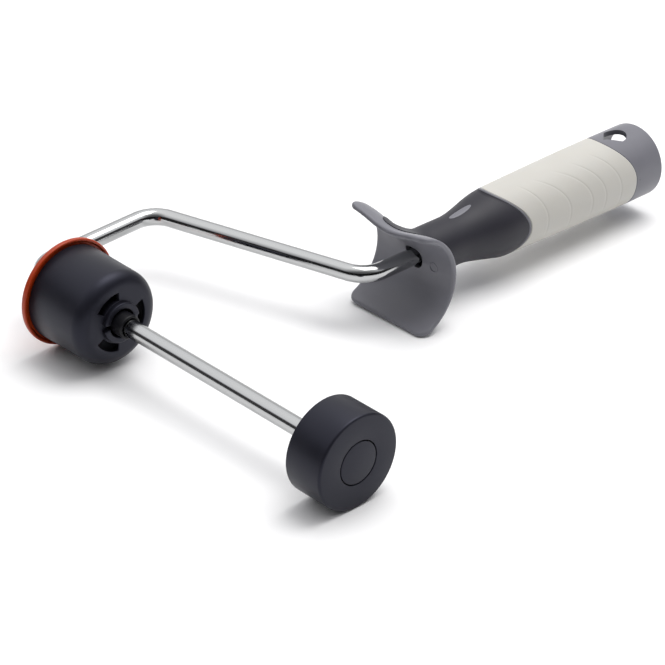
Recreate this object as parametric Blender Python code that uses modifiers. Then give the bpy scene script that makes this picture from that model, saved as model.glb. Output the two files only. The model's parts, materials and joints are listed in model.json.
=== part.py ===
"""A paint roller frame for 180 mm sleeves: a bent rod, two free-spinning sleeve holders and a moulded handle.

Metres, +Z up. The frame lies on a level surface, touching it with the stop flange, the outer cap and the
lower edge of the thumb guard. The origin is under the middle of its bounding box.
"""

import math

import bmesh
import bpy
from mathutils import Matrix, Vector

# Shared fit and drawing fineness
FIT_GAP = 0.0003
TURN_STEPS = 48
BEND_STEPS = 8

# Bent rod, in the tool frame: X along the axle, Y towards the handle, Z up
ROD_RADIUS = 0.004
BEND_RADIUS = 0.0125
AXLE_TO_ARM = 0.0247
ARM_LENGTH = 0.0691
HANDLE_OFFSET = 0.0823
HANDLE_BEND_REACH = 0.0989
HANDLE_PITCH = math.radians(-2.7)
ROD_IN_HANDLE = 0.076
ROD_SIDES_RESOLUTION = 8

# Sleeve holders, places measured along the axle from the back of the stop flange
HOLDER_SPAN = 0.1809
CUP_REAR_RADIUS = 0.0219
CUP_DRAFT = 0.0004
CUP_FRONT_RADIUS = CUP_REAR_RADIUS - CUP_DRAFT
CUP_LENGTH = 0.0360
CUP_EDGE_RADIUS = 0.006
CUP_WALL = 0.002
FLANGE_STEP = 0.0025
FLANGE_RADIUS = CUP_REAR_RADIUS + FLANGE_STEP
FLANGE_THICKNESS = 0.0025
FLANGE_EDGE_RADIUS = 0.0008
FLANGE_LIP = 0.0005
SPIGOT_LENGTH = 0.0045
SPIGOT_WALL = 0.0016
CAP_STEP = 0.0009
CAP_RADIUS = CUP_REAR_RADIUS - CAP_STEP
CAP_LENGTH = 0.0193
CAP_EDGE_RADIUS = 0.0015
CAP_WALL = 0.0024

# Hubs, bushes and lock washers
BUSH_WALL = 0.0018
BUSH_RADIUS = ROD_RADIUS + FIT_GAP + BUSH_WALL
BUSH_FLANGE_WIDTH = 0.0021
BUSH_FLANGE_RADIUS = BUSH_RADIUS + BUSH_FLANGE_WIDTH
BUSH_FLANGE_THICKNESS = 0.0014
BUSH_NOSE_LENGTH = 0.0047
BUSH_NOSE_STEP = 0.0003
BUSH_NOSE_RADIUS = BUSH_RADIUS - BUSH_NOSE_STEP
BUSH_NOSE_EDGE = 0.0006
SNAP_HEIGHT = 0.0009
SNAP_WIDTH = 0.001
SNAP_RAMP = 0.0006
CUP_HUB_WALL = 0.0029
CUP_HUB_RADIUS = BUSH_RADIUS + FIT_GAP + CUP_HUB_WALL
CUP_HUB_PROUD = 0.002
CUP_HUB_REAR = 0.0105
CAP_HUB_WALL = 0.002
CAP_HUB_RADIUS = BUSH_RADIUS + FIT_GAP + CAP_HUB_WALL
CAP_BUSH_INSET = 0.0005
FLANGE_HOLE_MARGIN = 0.0023
FLANGE_HOLE_RADIUS = BUSH_FLANGE_RADIUS + FLANGE_HOLE_MARGIN
WASHER_WIDTH = 0.0035
WASHER_RADIUS = ROD_RADIUS + FIT_GAP + WASHER_WIDTH
WASHER_THICKNESS = 0.0008
WASHER_RIM = 0.0014
WASHER_SLIT_COUNT = 3
WASHER_SLIT_WIDTH = 0.001
WASHER_TURN = 0.3
ROD_END_STANDOFF = 0.0009
PLUG_LEDGE = 0.0012
PLUG_THICKNESS = 0.0027
PLUG_EDGE_RADIUS = 0.0004
WASHER_MARGIN = 0.0008
PLUG_RADIUS = WASHER_RADIUS + WASHER_MARGIN + PLUG_LEDGE - FIT_GAP
WINDOW_COUNT = 3
WINDOW_MARGIN = 0.0006
WINDOW_WIDTH = 0.0039
WINDOW_INNER_RADIUS = CUP_HUB_RADIUS + WINDOW_MARGIN
WINDOW_OUTER_RADIUS = WINDOW_INNER_RADIUS + WINDOW_WIDTH
WINDOW_ANGLE = math.radians(56)
HOLDER_TURN = math.radians(86)
FINGER_SLOT_WIDTH = 0.002
FINGER_SLOT_DEPTH = 0.005
RIB_THICKNESS = 0.0016
CAP_RIB_COUNT = 6
CAP_RIB_SETBACK = 0.004

# Handle, places measured along its axis from the corner of the rod's last bend
GUARD_WIDTH = 0.048
GUARD_SADDLE = 0.004
GUARD_STATIONS = 8
GUARD_INNER_RADIUS = 0.0230
GUARD_THICKNESS = 0.0024
GUARD_CENTRE = 0.0064
GUARD_DROP = 0.0011
GUARD_TIP = 0.0122
GUARD_CORNER_RADIUS = 0.005
SPINE_BITE = 0.0002
SPINE_WALL = 0.0037
SPINE_RADIUS = ROD_RADIUS + FIT_GAP + SPINE_WALL
ROD_MOUTH_MARGIN = 0.0022
ROD_MOUTH_RADIUS = ROD_RADIUS + ROD_MOUTH_MARGIN
ROD_MOUTH_DEPTH = 0.006
HANDLE_END = 0.1745
CORE_RADIUS = 0.0142
GRIP_WALL = 0.002
GRIP_SWELL = 0.0013
GRIP_FRONT_RADIUS = CORE_RADIUS + GRIP_WALL
GRIP_REAR_RADIUS = GRIP_FRONT_RADIUS + GRIP_SWELL
NECK_STEP = 0.0002
NECK_END_RADIUS = GRIP_FRONT_RADIUS - NECK_STEP
NECK_WAIST_RADIUS = 0.0113
NECK_WAIST_START = 0.0385
NECK_WAIST_END = 0.050
NECK_FLARE_RADIUS = 0.0165
NECK_FLARE_LEAN = 0.0018
NECK_FLARE_START = 0.0235
NECK_FLARE_POWER = 2.2
BORDER_MIDDLE = 0.0797
BORDER_WAVE = 0.0061
BORDER_RING_WIDTH = 0.0014
BORDER_GAP = 0.0005
BARE_END_LENGTH = 0.018
END_BORDER = HANDLE_END - BARE_END_LENGTH
END_NOTCH = 0.009
END_NOTCH_POWER = 2.5
END_EDGE_RADIUS = 0.0012
INLAY_CENTRE = 0.0585
INLAY_LENGTH = 0.0165
INLAY_WIDTH = 0.003
INLAY_ROOT = 0.0025
INLAY_PROUD = 0.0001
INLAY_WINDOW_HEIGHT = 0.003
SOCKET_WALL = 0.0014
SOCKET_MOUTH_RADIUS = CORE_RADIUS - SOCKET_WALL
SOCKET_DEPTH = 0.0275
SOCKET_SHOULDER = HANDLE_END - SOCKET_DEPTH
BARE_END_WALL = 0.0023
BARE_BORE_RADIUS = GRIP_REAR_RADIUS - BARE_END_WALL
BARE_BORE_START = END_BORDER + BARE_END_WALL / 2
INSERT_FLANGE_RADIUS = SOCKET_MOUTH_RADIUS - FIT_GAP
INSERT_FLANGE_THICKNESS = 0.002
INSERT_FLANGE_WIDTH = 0.001
INSERT_RADIUS = INSERT_FLANGE_RADIUS - INSERT_FLANGE_WIDTH
INSERT_LENGTH = 0.047
INSERT_WALL = 0.0012
INSERT_TAPER = 0.0007
INSERT_BORE_REAR = INSERT_RADIUS - INSERT_WALL
INSERT_BORE_FRONT = INSERT_BORE_REAR - INSERT_TAPER
HANG_HOLE_SETBACK = 0.0167
HANG_HOLE_PLACE = HANDLE_END - HANG_HOLE_SETBACK
HANG_HOLE_LENGTH = 0.0135
HANG_HOLE_WIDTH = 0.0115

# How far a cutter runs past the end of what it cuts
CUTTER_OVERRUN = 0.005

# Angles of the lathe steps, measured from straight up towards +X
STEP_ANGLES = [2 * math.pi * step / TURN_STEPS for step in range(TURN_STEPS)]


def clear_scene():
    for old in list(bpy.data.objects):
        bpy.data.objects.remove(old, do_unlink=True)


def new_collection(name):
    collection = bpy.data.collections.new(name)
    bpy.context.scene.collection.children.link(collection)
    return collection


def plain_material(name, colour, roughness, metallic=0.0):
    material = bpy.data.materials.new(name)
    material.use_nodes = True
    shader = material.node_tree.nodes["Principled BSDF"]
    shader.inputs["Base Color"].default_value = (*colour, 1.0)
    shader.inputs["Roughness"].default_value = roughness
    shader.inputs["Metallic"].default_value = metallic
    material.diffuse_color = (*colour, 1.0)
    return material


def add_empty(name, parent, collection, location=(0, 0, 0), rotation=(0, 0, 0)):
    empty = bpy.data.objects.new(name, None)
    empty.empty_display_size = 0.02
    empty.location = location
    empty.rotation_euler = rotation
    empty.parent = parent
    collection.objects.link(empty)
    return empty


def add_mesh(name, mesh, parent, collection, location=(0, 0, 0), rotation=(0, 0, 0)):
    piece = bpy.data.objects.new(name, mesh)
    piece.location = location
    piece.rotation_euler = rotation
    piece.parent = parent
    collection.objects.link(piece)
    return piece


def as_cutter(piece):
    piece.hide_render = True
    piece.display_type = "WIRE"
    return piece


def boolean(target, operation, other):
    """Cuts, joins or intersects the target with a helper object that stays hidden."""
    modifier = target.modifiers.new(f"{operation.lower()} {other.name}", "BOOLEAN")
    modifier.operation = operation
    modifier.object = as_cutter(other)
    modifier.solver = "EXACT"


def finish_piece(piece, material):
    piece.data.materials.append(material)
    piece.data.shade_smooth()
    return piece


def arc(centre_radius, centre_place, radius, start, end, steps=4):
    """Points (radius, place) of a rounded edge in a turned profile, with angles in degrees."""
    angles = [math.radians(start + (end - start) * step / steps) for step in range(steps + 1)]
    return [(centre_radius + radius * math.cos(a), centre_place + radius * math.sin(a)) for a in angles]


def turned(name, profile, parent, collection, closed=True):
    """A turned shape about local Z, from (radius, place) points whose outer side runs downwards."""
    mesh = bpy.data.meshes.new(name)
    edges = [(index, index + 1) for index in range(len(profile) - 1)]
    if closed:
        edges.append((len(profile) - 1, 0))
    mesh.from_pydata([(radius, 0, place) for radius, place in profile], edges, [])
    piece = add_mesh(name, mesh, parent, collection)
    screw = piece.modifiers.new("turn", "SCREW")
    screw.steps = TURN_STEPS
    screw.render_steps = TURN_STEPS
    screw.use_merge_vertices = True
    screw.merge_threshold = 0.00001
    screw.use_smooth_shade = True
    return piece


def lofted(name, rings, parent, collection, tube):
    """A shape about local Z with wavy ends: each ring is a function from angle to (radius, place).

    A tube joins its last ring to its first; otherwise both ends are closed by a point on the axis."""
    shape = bmesh.new()
    loops = []
    for ring in rings:
        places = [ring(angle) for angle in STEP_ANGLES]
        loops.append([
            shape.verts.new((radius * math.sin(angle), -radius * math.cos(angle), place))
            for angle, (radius, place) in zip(STEP_ANGLES, places)
        ])
    pairs = list(zip(loops, loops[1:]))
    if tube:
        pairs.append((loops[-1], loops[0]))
    for near, far in pairs:
        for step in range(TURN_STEPS):
            after = (step + 1) % TURN_STEPS
            shape.faces.new((near[step], near[after], far[after], far[step]))
    if not tube:
        shape.faces.new(loops[0])
        shape.faces.new(loops[-1])
    bmesh.ops.recalc_face_normals(shape, faces=shape.faces)
    mesh = bpy.data.meshes.new(name)
    shape.to_mesh(mesh)
    shape.free()
    return add_mesh(name, mesh, parent, collection)


def cylinder(name, radius, depth, parent, collection, location=(0, 0, 0), rotation=(0, 0, 0), stretch=(1, 1)):
    """A cylinder about local Z, its round section stretched along local X and Y."""
    shape = bmesh.new()
    bmesh.ops.create_cone(
        shape, cap_ends=True, segments=TURN_STEPS, radius1=radius, radius2=radius, depth=depth
    )
    bmesh.ops.scale(shape, vec=(stretch[0], stretch[1], 1), verts=shape.verts)
    mesh = bpy.data.meshes.new(name)
    shape.to_mesh(mesh)
    shape.free()
    return add_mesh(name, mesh, parent, collection, location, rotation)


def block(name, size, parent, collection, location=(0, 0, 0), rotation=(0, 0, 0)):
    shape = bmesh.new()
    bmesh.ops.create_cube(shape, size=1)
    bmesh.ops.scale(shape, vec=size, verts=shape.verts)
    mesh = bpy.data.meshes.new(name)
    shape.to_mesh(mesh)
    shape.free()
    return add_mesh(name, mesh, parent, collection, location, rotation)


def prism(name, outline, depth, parent, collection, location=(0, 0, 0), rotation=(0, 0, 0)):
    """A flat outline in local XY, drawn anticlockwise, made into a solid that reaches depth along local Z."""
    shape = bmesh.new()
    face = shape.faces.new([shape.verts.new((x, y, -depth / 2)) for x, y in outline])
    grown = bmesh.ops.extrude_face_region(shape, geom=[face])
    lifted = [item for item in grown["geom"] if isinstance(item, bmesh.types.BMVert)]
    bmesh.ops.translate(shape, vec=(0, 0, depth), verts=lifted)
    bmesh.ops.recalc_face_normals(shape, faces=shape.faces)
    mesh = bpy.data.meshes.new(name)
    shape.to_mesh(mesh)
    shape.free()
    return add_mesh(name, mesh, parent, collection, location, rotation)


def rounded_route(corners, radius, steps):
    """The corner points of a route with every inner corner replaced by an arc."""
    route = [corners[0]]
    for before, corner, after in zip(corners, corners[1:], corners[2:]):
        inward = (before - corner).normalized()
        outward = (after - corner).normalized()
        opening = inward.angle(outward)
        centre = corner + (inward + outward).normalized() * radius / math.sin(opening / 2)
        first = (corner + inward * radius / math.tan(opening / 2) - centre).normalized()
        last = (corner + outward * radius / math.tan(opening / 2) - centre).normalized()
        route += [centre + radius * first.slerp(last, step / steps) for step in range(steps + 1)]
    return route + [corners[-1]]


def make_frame_rod(tool, collection):
    """8 mm round bar bent three times in one plane, with its tail turned to the handle's pitch."""
    last_bend = Vector((HANDLE_OFFSET, HANDLE_BEND_REACH, 0))
    tail = Vector((0, math.cos(HANDLE_PITCH), math.sin(HANDLE_PITCH)))
    corners = [
        Vector((rod_end_place(), 0, 0)),
        Vector((-AXLE_TO_ARM, 0, 0)),
        Vector((-AXLE_TO_ARM, ARM_LENGTH, 0)),
        last_bend,
        last_bend + tail * ROD_IN_HANDLE,
    ]
    curve = bpy.data.curves.new("rod route", "CURVE")
    curve.dimensions = "3D"
    curve.bevel_depth = ROD_RADIUS
    curve.bevel_resolution = ROD_SIDES_RESOLUTION
    curve.use_fill_caps = True
    route = rounded_route(corners, BEND_RADIUS, BEND_STEPS)
    spline = curve.splines.new("POLY")
    spline.points.add(len(route) - 1)
    for point, place in zip(spline.points, route):
        point.co = (*place, 1)
    guide = bpy.data.objects.new("rod route", curve)
    collection.objects.link(guide)
    graph = bpy.context.evaluated_depsgraph_get()
    mesh = bpy.data.meshes.new_from_object(guide.evaluated_get(graph))
    mesh.name = "frame_rod"
    weld = bmesh.new()
    weld.from_mesh(mesh)
    bmesh.ops.remove_doubles(weld, verts=weld.verts, dist=0.00001)
    weld.to_mesh(mesh)
    weld.free()
    bpy.data.objects.remove(guide, do_unlink=True)
    mesh.materials.clear()
    return add_mesh("frame_rod", mesh, tool, collection)


def plug_seat_place():
    """Where the plug's inner face sits in the outer cap."""
    return HOLDER_SPAN - PLUG_THICKNESS


def cap_web_place():
    """The outboard face of the cap's web, which the outer lock washer runs against."""
    return plug_seat_place() - FIT_GAP - ROD_END_STANDOFF - WASHER_THICKNESS - 2 * FIT_GAP


def rod_end_place():
    return plug_seat_place() - 2 * FIT_GAP


def flange_seat_place():
    """The sunk part of the flange's front, inside its lip, which the cup's rear edge stands over."""
    return FLANGE_THICKNESS - FLANGE_LIP


def make_stop_flange(spin, collection):
    """Ring that stops the sleeve: a lipped flange with a spigot that presses into the back of the cup."""
    seat = flange_seat_place()
    lip_inner = CUP_REAR_RADIUS + FIT_GAP
    edge = FLANGE_EDGE_RADIUS
    spigot_outer = CUP_REAR_RADIUS - CUP_WALL - FIT_GAP
    spigot_inner = spigot_outer - SPIGOT_WALL
    spigot_end = FLANGE_THICKNESS + SPIGOT_LENGTH
    profile = [
        (spigot_inner, spigot_end),
        (spigot_outer, spigot_end),
        (spigot_outer, seat),
        (lip_inner, seat),
        (lip_inner, FLANGE_THICKNESS),
        *arc(FLANGE_RADIUS - edge, FLANGE_THICKNESS - edge, edge, 90, 0, 2),
        *arc(FLANGE_RADIUS - edge, edge, edge, 0, -90, 2),
        (FLANGE_HOLE_RADIUS, 0),
        (FLANGE_HOLE_RADIUS, seat),
        (spigot_inner, seat),
    ]
    return turned("stop_flange", profile, spin, collection)


def make_inner_cup(spin, collection, cutters):
    """Drum that carries the sleeve's near end: a shell, a pierced front wall, a snap hub and three ribs."""
    rear = flange_seat_place() + FIT_GAP
    edge = CUP_EDGE_RADIUS
    edge_centre = CUP_FRONT_RADIUS - edge
    edge_start = CUP_LENGTH - edge
    inner_edge = CUP_EDGE_RADIUS - CUP_WALL
    hub_bore = BUSH_RADIUS + FIT_GAP
    profile = [
        *arc(edge_centre, edge_start, edge, 90, 0, 6),
        (CUP_REAR_RADIUS, rear),
        (CUP_REAR_RADIUS - CUP_WALL, rear),
        *arc(edge_centre, edge_start, inner_edge, 0, 90, 4),
        (CUP_HUB_RADIUS, CUP_LENGTH - CUP_WALL),
        (CUP_HUB_RADIUS, CUP_HUB_REAR),
        (hub_bore, CUP_HUB_REAR),
        (hub_bore, CUP_LENGTH + CUP_HUB_PROUD),
        (CUP_HUB_RADIUS, CUP_LENGTH + CUP_HUB_PROUD),
        (CUP_HUB_RADIUS, CUP_LENGTH),
    ]
    cup = turned("inner_cup", profile, spin, collection)
    bite = CUP_WALL / 2
    rib_rear = FLANGE_THICKNESS + SPIGOT_LENGTH + FIT_GAP
    rib_outline = [
        (CUP_HUB_RADIUS - bite, rib_rear + CUP_HUB_REAR),
        (CUP_REAR_RADIUS - bite, rib_rear),
        *arc(edge_centre, edge_start, edge - bite, 0, 90, 3),
        (CUP_HUB_RADIUS - bite, CUP_LENGTH - bite),
    ]
    for number in range(WINDOW_COUNT):
        middle = HOLDER_TURN + 2 * math.pi * number / WINDOW_COUNT
        window = prism(
            f"window cutter {number}", window_outline(), 4 * CUP_WALL, spin, cutters,
            (0, 0, CUP_LENGTH), (0, 0, middle),
        )
        boolean(cup, "DIFFERENCE", window)
        turn = (math.pi / 2, 0, middle + math.pi / WINDOW_COUNT)
        rib = prism(f"rib {number}", rib_outline, RIB_THICKNESS, spin, cutters, rotation=turn)
        boolean(cup, "UNION", rib)
    slot = block(
        "finger slot cutter",
        (2 * (CUP_HUB_RADIUS + FIT_GAP), FINGER_SLOT_WIDTH, 2 * FINGER_SLOT_DEPTH),
        spin, cutters,
        (0, 0, CUP_LENGTH + CUP_HUB_PROUD),
        (0, 0, HOLDER_TURN),
    )
    boolean(cup, "DIFFERENCE", slot)
    return cup


def window_outline(steps=8):
    """An arc-shaped window about local X, anticlockwise."""
    angles = [WINDOW_ANGLE * (step / steps - 0.5) for step in range(steps + 1)]
    edges = [(WINDOW_OUTER_RADIUS, angle) for angle in angles]
    edges += [(WINDOW_INNER_RADIUS, angle) for angle in reversed(angles)]
    return [(radius * math.cos(angle), radius * math.sin(angle)) for radius, angle in edges]


def make_inner_bush(axle, collection):
    """Acetal bush pressed on the rod: a thrust flange behind the cup's hub and a nose in front of it."""
    flange_front = CUP_HUB_REAR - FIT_GAP
    flange_rear = flange_front - BUSH_FLANGE_THICKNESS
    nose_start = CUP_LENGTH + CUP_HUB_PROUD + FIT_GAP
    nose_end = nose_start + BUSH_NOSE_LENGTH
    bore = ROD_RADIUS + FIT_GAP
    snap_radius = BUSH_RADIUS + SNAP_HEIGHT
    edge = BUSH_NOSE_EDGE
    profile = [
        (bore, nose_end),
        *arc(BUSH_NOSE_RADIUS - edge, nose_end - edge, edge, 90, 0, 2),
        (BUSH_NOSE_RADIUS, nose_start + SNAP_WIDTH + SNAP_RAMP),
        (snap_radius, nose_start + SNAP_WIDTH),
        (snap_radius, nose_start),
        (BUSH_RADIUS, nose_start),
        (BUSH_RADIUS, flange_front),
        (BUSH_FLANGE_RADIUS, flange_front),
        (BUSH_FLANGE_RADIUS, flange_rear),
        (bore, flange_rear),
    ]
    return turned("inner_bush", profile, axle, collection)


def make_lock_washer(name, place, axle, collection, cutters):
    """Push-on spring steel washer with three radial slits."""
    bore = ROD_RADIUS + FIT_GAP
    profile = [
        (bore, place + WASHER_THICKNESS),
        (WASHER_RADIUS, place + WASHER_THICKNESS),
        (WASHER_RADIUS, place),
        (bore, place),
    ]
    washer = turned(name, profile, axle, collection)
    reach = WASHER_RADIUS - WASHER_RIM
    for number in range(WASHER_SLIT_COUNT):
        turn = WASHER_TURN + 2 * math.pi * number / WASHER_SLIT_COUNT
        slit = block(
            f"{name} slit {number}",
            (reach, WASHER_SLIT_WIDTH, 4 * WASHER_THICKNESS),
            axle, cutters,
            (reach / 2 * math.cos(turn), reach / 2 * math.sin(turn), place + WASHER_THICKNESS / 2),
            (0, 0, turn),
        )
        boolean(washer, "DIFFERENCE", slit)
    return washer


def make_outer_bush(axle, collection):
    """Acetal bush on the rod's end, with a thrust flange on its inboard side."""
    flange_rear = HOLDER_SPAN - CAP_LENGTH + CAP_BUSH_INSET
    flange_front = flange_rear + BUSH_FLANGE_THICKNESS
    bore = ROD_RADIUS + FIT_GAP
    end = cap_web_place()
    profile = [
        (bore, end),
        (BUSH_RADIUS, end),
        (BUSH_RADIUS, flange_front),
        (BUSH_FLANGE_RADIUS, flange_front),
        (BUSH_FLANGE_RADIUS, flange_rear),
        (bore, flange_rear),
    ]
    return turned("outer_bush", profile, axle, collection)


def make_outer_cap(spin, collection, cutters):
    """Drum that carries the sleeve's far end, open on its inboard side, with a seat for the plug."""
    rear = HOLDER_SPAN - CAP_LENGTH
    web_front = cap_web_place()
    web_rear = web_front - CAP_WALL
    seat = PLUG_RADIUS + FIT_GAP
    mouth = seat - PLUG_LEDGE
    boss = seat + CAP_WALL
    hub_rear = rear + CAP_BUSH_INSET + BUSH_FLANGE_THICKNESS + FIT_GAP
    hub_bore = BUSH_RADIUS + FIT_GAP
    edge = CAP_EDGE_RADIUS
    profile = [
        (seat, HOLDER_SPAN),
        *arc(CAP_RADIUS - edge, HOLDER_SPAN - edge, edge, 90, 0, 4),
        *arc(CAP_RADIUS - edge / 2, rear + edge / 2, edge / 2, 0, -90, 2),
        (CAP_RADIUS - CAP_WALL, rear),
        (CAP_RADIUS - CAP_WALL, HOLDER_SPAN - CAP_WALL),
        (boss, HOLDER_SPAN - CAP_WALL),
        (boss, web_rear),
        (CAP_HUB_RADIUS, web_rear),
        (CAP_HUB_RADIUS, hub_rear),
        (hub_bore, hub_rear),
        (hub_bore, web_front),
        (mouth, web_front),
        (mouth, plug_seat_place() - FIT_GAP),
        (seat, plug_seat_place() - FIT_GAP),
    ]
    cap = turned("outer_cap", profile, spin, collection)
    bite = CAP_WALL / 2
    rib_rear = rear + CAP_RIB_SETBACK
    rib_outline = [
        (CAP_HUB_RADIUS - bite / 2, rib_rear),
        (CAP_RADIUS - bite, rib_rear),
        (CAP_RADIUS - bite, HOLDER_SPAN - bite),
        (boss - bite, HOLDER_SPAN - bite),
        (boss - bite, web_front - bite),
        (CAP_HUB_RADIUS - bite / 2, web_front - bite),
    ]
    for number in range(CAP_RIB_COUNT):
        turn = (math.pi / 2, 0, 2 * math.pi * number / CAP_RIB_COUNT)
        rib = prism(f"cap rib {number}", rib_outline, RIB_THICKNESS, spin, cutters, rotation=turn)
        boolean(cap, "UNION", rib)
    return cap


def make_cap_plug(spin, collection):
    """Disc that closes the plug seat, flush with the cap's face."""
    edge = PLUG_EDGE_RADIUS
    profile = [
        (0, HOLDER_SPAN),
        (PLUG_RADIUS - edge, HOLDER_SPAN),
        (PLUG_RADIUS, HOLDER_SPAN - edge),
        (PLUG_RADIUS, plug_seat_place()),
        (0, plug_seat_place()),
    ]
    return turned("cap_plug", profile, spin, collection, closed=False)


def border_place(angle):
    """The wavy border between the neck and the grip."""
    return BORDER_MIDDLE - BORDER_WAVE * math.cos(2 * angle)


def end_border_place(angle):
    """The border between the grip and the bare end, drawn forward on top around the hanging hole."""
    return END_BORDER - END_NOTCH * max(0.0, math.cos(angle)) ** END_NOTCH_POWER


def grip_radius(place):
    """The grip swells slowly towards its end."""
    share = (place - BORDER_MIDDLE) / (END_BORDER - BORDER_MIDDLE)
    share = min(1.0, max(0.0, share))
    return GRIP_FRONT_RADIUS + (GRIP_REAR_RADIUS - GRIP_FRONT_RADIUS) * math.sin(share * math.pi / 2)


def neck_radius(place, angle=0.0):
    """The neck flares against the guard, narrows to a waist and swells to the grip."""
    if place < NECK_WAIST_START:
        share = (NECK_WAIST_START - place) / (NECK_WAIST_START - NECK_FLARE_START)
        flare = NECK_FLARE_RADIUS - NECK_FLARE_LEAN * math.cos(angle)
        return NECK_WAIST_RADIUS + (flare - NECK_WAIST_RADIUS) * share**NECK_FLARE_POWER
    if place < NECK_WAIST_END:
        return NECK_WAIST_RADIUS
    share = (place - NECK_WAIST_END) / (BORDER_MIDDLE - NECK_WAIST_END)
    share = min(1.0, share)
    return NECK_WAIST_RADIUS + (NECK_END_RADIUS - NECK_WAIST_RADIUS) * (3 * share**2 - 2 * share**3)


def guard_back_radius():
    return GUARD_INNER_RADIUS + GUARD_THICKNESS


def inlay_shape(name, margin, height, parent, collection):
    """An oval post from inside the spine to a height over the neck, square to the neck's slope."""
    front = neck_radius(INLAY_CENTRE - INLAY_LENGTH / 2)
    rear = neck_radius(INLAY_CENTRE + INLAY_LENGTH / 2)
    slope = math.atan2(rear - front, INLAY_LENGTH)
    root = (front + rear) / 2 - SPINE_RADIUS + INLAY_ROOT
    outward = Vector((0, -math.cos(slope), -math.sin(slope)))
    middle = Vector((0, -(front + rear) / 2, INLAY_CENTRE)) + outward * (height - root) / 2
    size = (INLAY_WIDTH + 2 * margin, INLAY_LENGTH + 2 * margin)
    turn = (math.pi / 2 + slope, 0, 0)
    return cylinder(name, 0.5, height + root, parent, collection, middle, turn, size)


def guard_ring(radius, place):
    """One round of the guard's pipe. Its upper side sinks towards the middle, as a saddle does."""
    sink = GUARD_SADDLE * math.cos(math.pi * place / GUARD_WIDTH) ** 2
    return lambda angle: (radius - sink * max(0.0, math.cos(angle)), place)


def make_guard_plate(grip, cutters):
    """The thumb guard: a piece of pipe across the handle, open in front, with rounded corners."""
    half_width = GUARD_WIDTH / 2
    places = [half_width * (2 * step / GUARD_STATIONS - 1) for step in range(GUARD_STATIONS + 1)]
    rings = [guard_ring(guard_back_radius(), place) for place in places]
    rings += [guard_ring(GUARD_INNER_RADIUS, place) for place in reversed(places)]
    guard = lofted("guard blank", rings, grip, cutters, tube=True)
    guard.location = (0, GUARD_DROP, GUARD_CENTRE)
    guard.rotation_euler = (0, math.pi / 2, 0)
    corner = GUARD_CORNER_RADIUS
    reach = GUARD_CENTRE + guard_back_radius() + corner
    outline = []
    for side, start in ((-1, 180), (1, 270)):
        centre = (side * (half_width - corner), GUARD_TIP + corner)
        turn = [math.radians(start + 90 * step / 6) for step in range(7)]
        outline += [(centre[0] + corner * math.cos(a), centre[1] + corner * math.sin(a)) for a in turn]
    outline += [(half_width, reach), (-half_width, reach)]
    depth = 4 * guard_back_radius()
    shadow = prism("guard outline", outline, depth, grip, cutters, rotation=(math.pi / 2, 0, 0))
    boolean(guard, "INTERSECT", shadow)
    return guard


def make_handle_core(grip, collection, cutters):
    """One moulding: the thumb guard, the spine that holds the rod, the border ring and the bare end."""
    edge_middle = END_EDGE_RADIUS * (1 - math.sqrt(0.5))
    rings = [
        lambda angle: (SPINE_RADIUS, GUARD_CENTRE + GUARD_INNER_RADIUS + SPINE_BITE),
        lambda angle: (SPINE_RADIUS, border_place(angle)),
        lambda angle: (GRIP_FRONT_RADIUS, border_place(angle)),
        lambda angle: (GRIP_FRONT_RADIUS, border_place(angle) + BORDER_RING_WIDTH),
        lambda angle: (CORE_RADIUS, border_place(angle) + BORDER_RING_WIDTH),
        lambda angle: (CORE_RADIUS, end_border_place(angle)),
        lambda angle: (grip_radius(end_border_place(angle)), end_border_place(angle)),
        lambda angle: (GRIP_REAR_RADIUS, HANDLE_END - END_EDGE_RADIUS),
        lambda angle: (GRIP_REAR_RADIUS - edge_middle, HANDLE_END - edge_middle),
        lambda angle: (GRIP_REAR_RADIUS - END_EDGE_RADIUS, HANDLE_END),
    ]
    core = lofted("handle_core", rings, grip, collection, tube=False)

    boolean(core, "UNION", make_guard_plate(grip, cutters))
    boolean(core, "UNION", inlay_shape("inlay post", 0, INLAY_PROUD, grip, cutters))

    rod_depth = ROD_IN_HANDLE + 2 * FIT_GAP
    bore_radius = ROD_RADIUS + FIT_GAP
    mouth_end = GUARD_CENTRE + GUARD_INNER_RADIUS + ROD_MOUTH_DEPTH
    bore_profile = [
        (0, rod_depth),
        (bore_radius, rod_depth),
        (bore_radius, mouth_end),
        (ROD_MOUTH_RADIUS, mouth_end),
        (ROD_MOUTH_RADIUS, 0),
        (0, 0),
    ]
    boolean(core, "DIFFERENCE", turned("rod bore", bore_profile, grip, cutters, closed=False))
    cavity_front = SOCKET_SHOULDER - INSERT_LENGTH - FIT_GAP
    cavity_radius = INSERT_RADIUS + FIT_GAP
    socket_profile = [
        (0, HANDLE_END + CUTTER_OVERRUN),
        (BARE_BORE_RADIUS, HANDLE_END + CUTTER_OVERRUN),
        (BARE_BORE_RADIUS, BARE_BORE_START),
        (SOCKET_MOUTH_RADIUS, BARE_BORE_START),
        (SOCKET_MOUTH_RADIUS, SOCKET_SHOULDER),
        (cavity_radius, SOCKET_SHOULDER),
        (cavity_radius, cavity_front),
        (0, cavity_front),
    ]
    socket = turned("socket cutter", socket_profile, grip, cutters, closed=False)
    boolean(core, "DIFFERENCE", socket)
    hole = cylinder(
        "hanging hole cutter", 0.5, 2 * GRIP_REAR_RADIUS, grip, cutters,
        (0, -GRIP_REAR_RADIUS, HANG_HOLE_PLACE), (math.pi / 2, 0, 0), (HANG_HOLE_WIDTH, HANG_HOLE_LENGTH),
    )
    boolean(core, "DIFFERENCE", hole)
    return core


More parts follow.
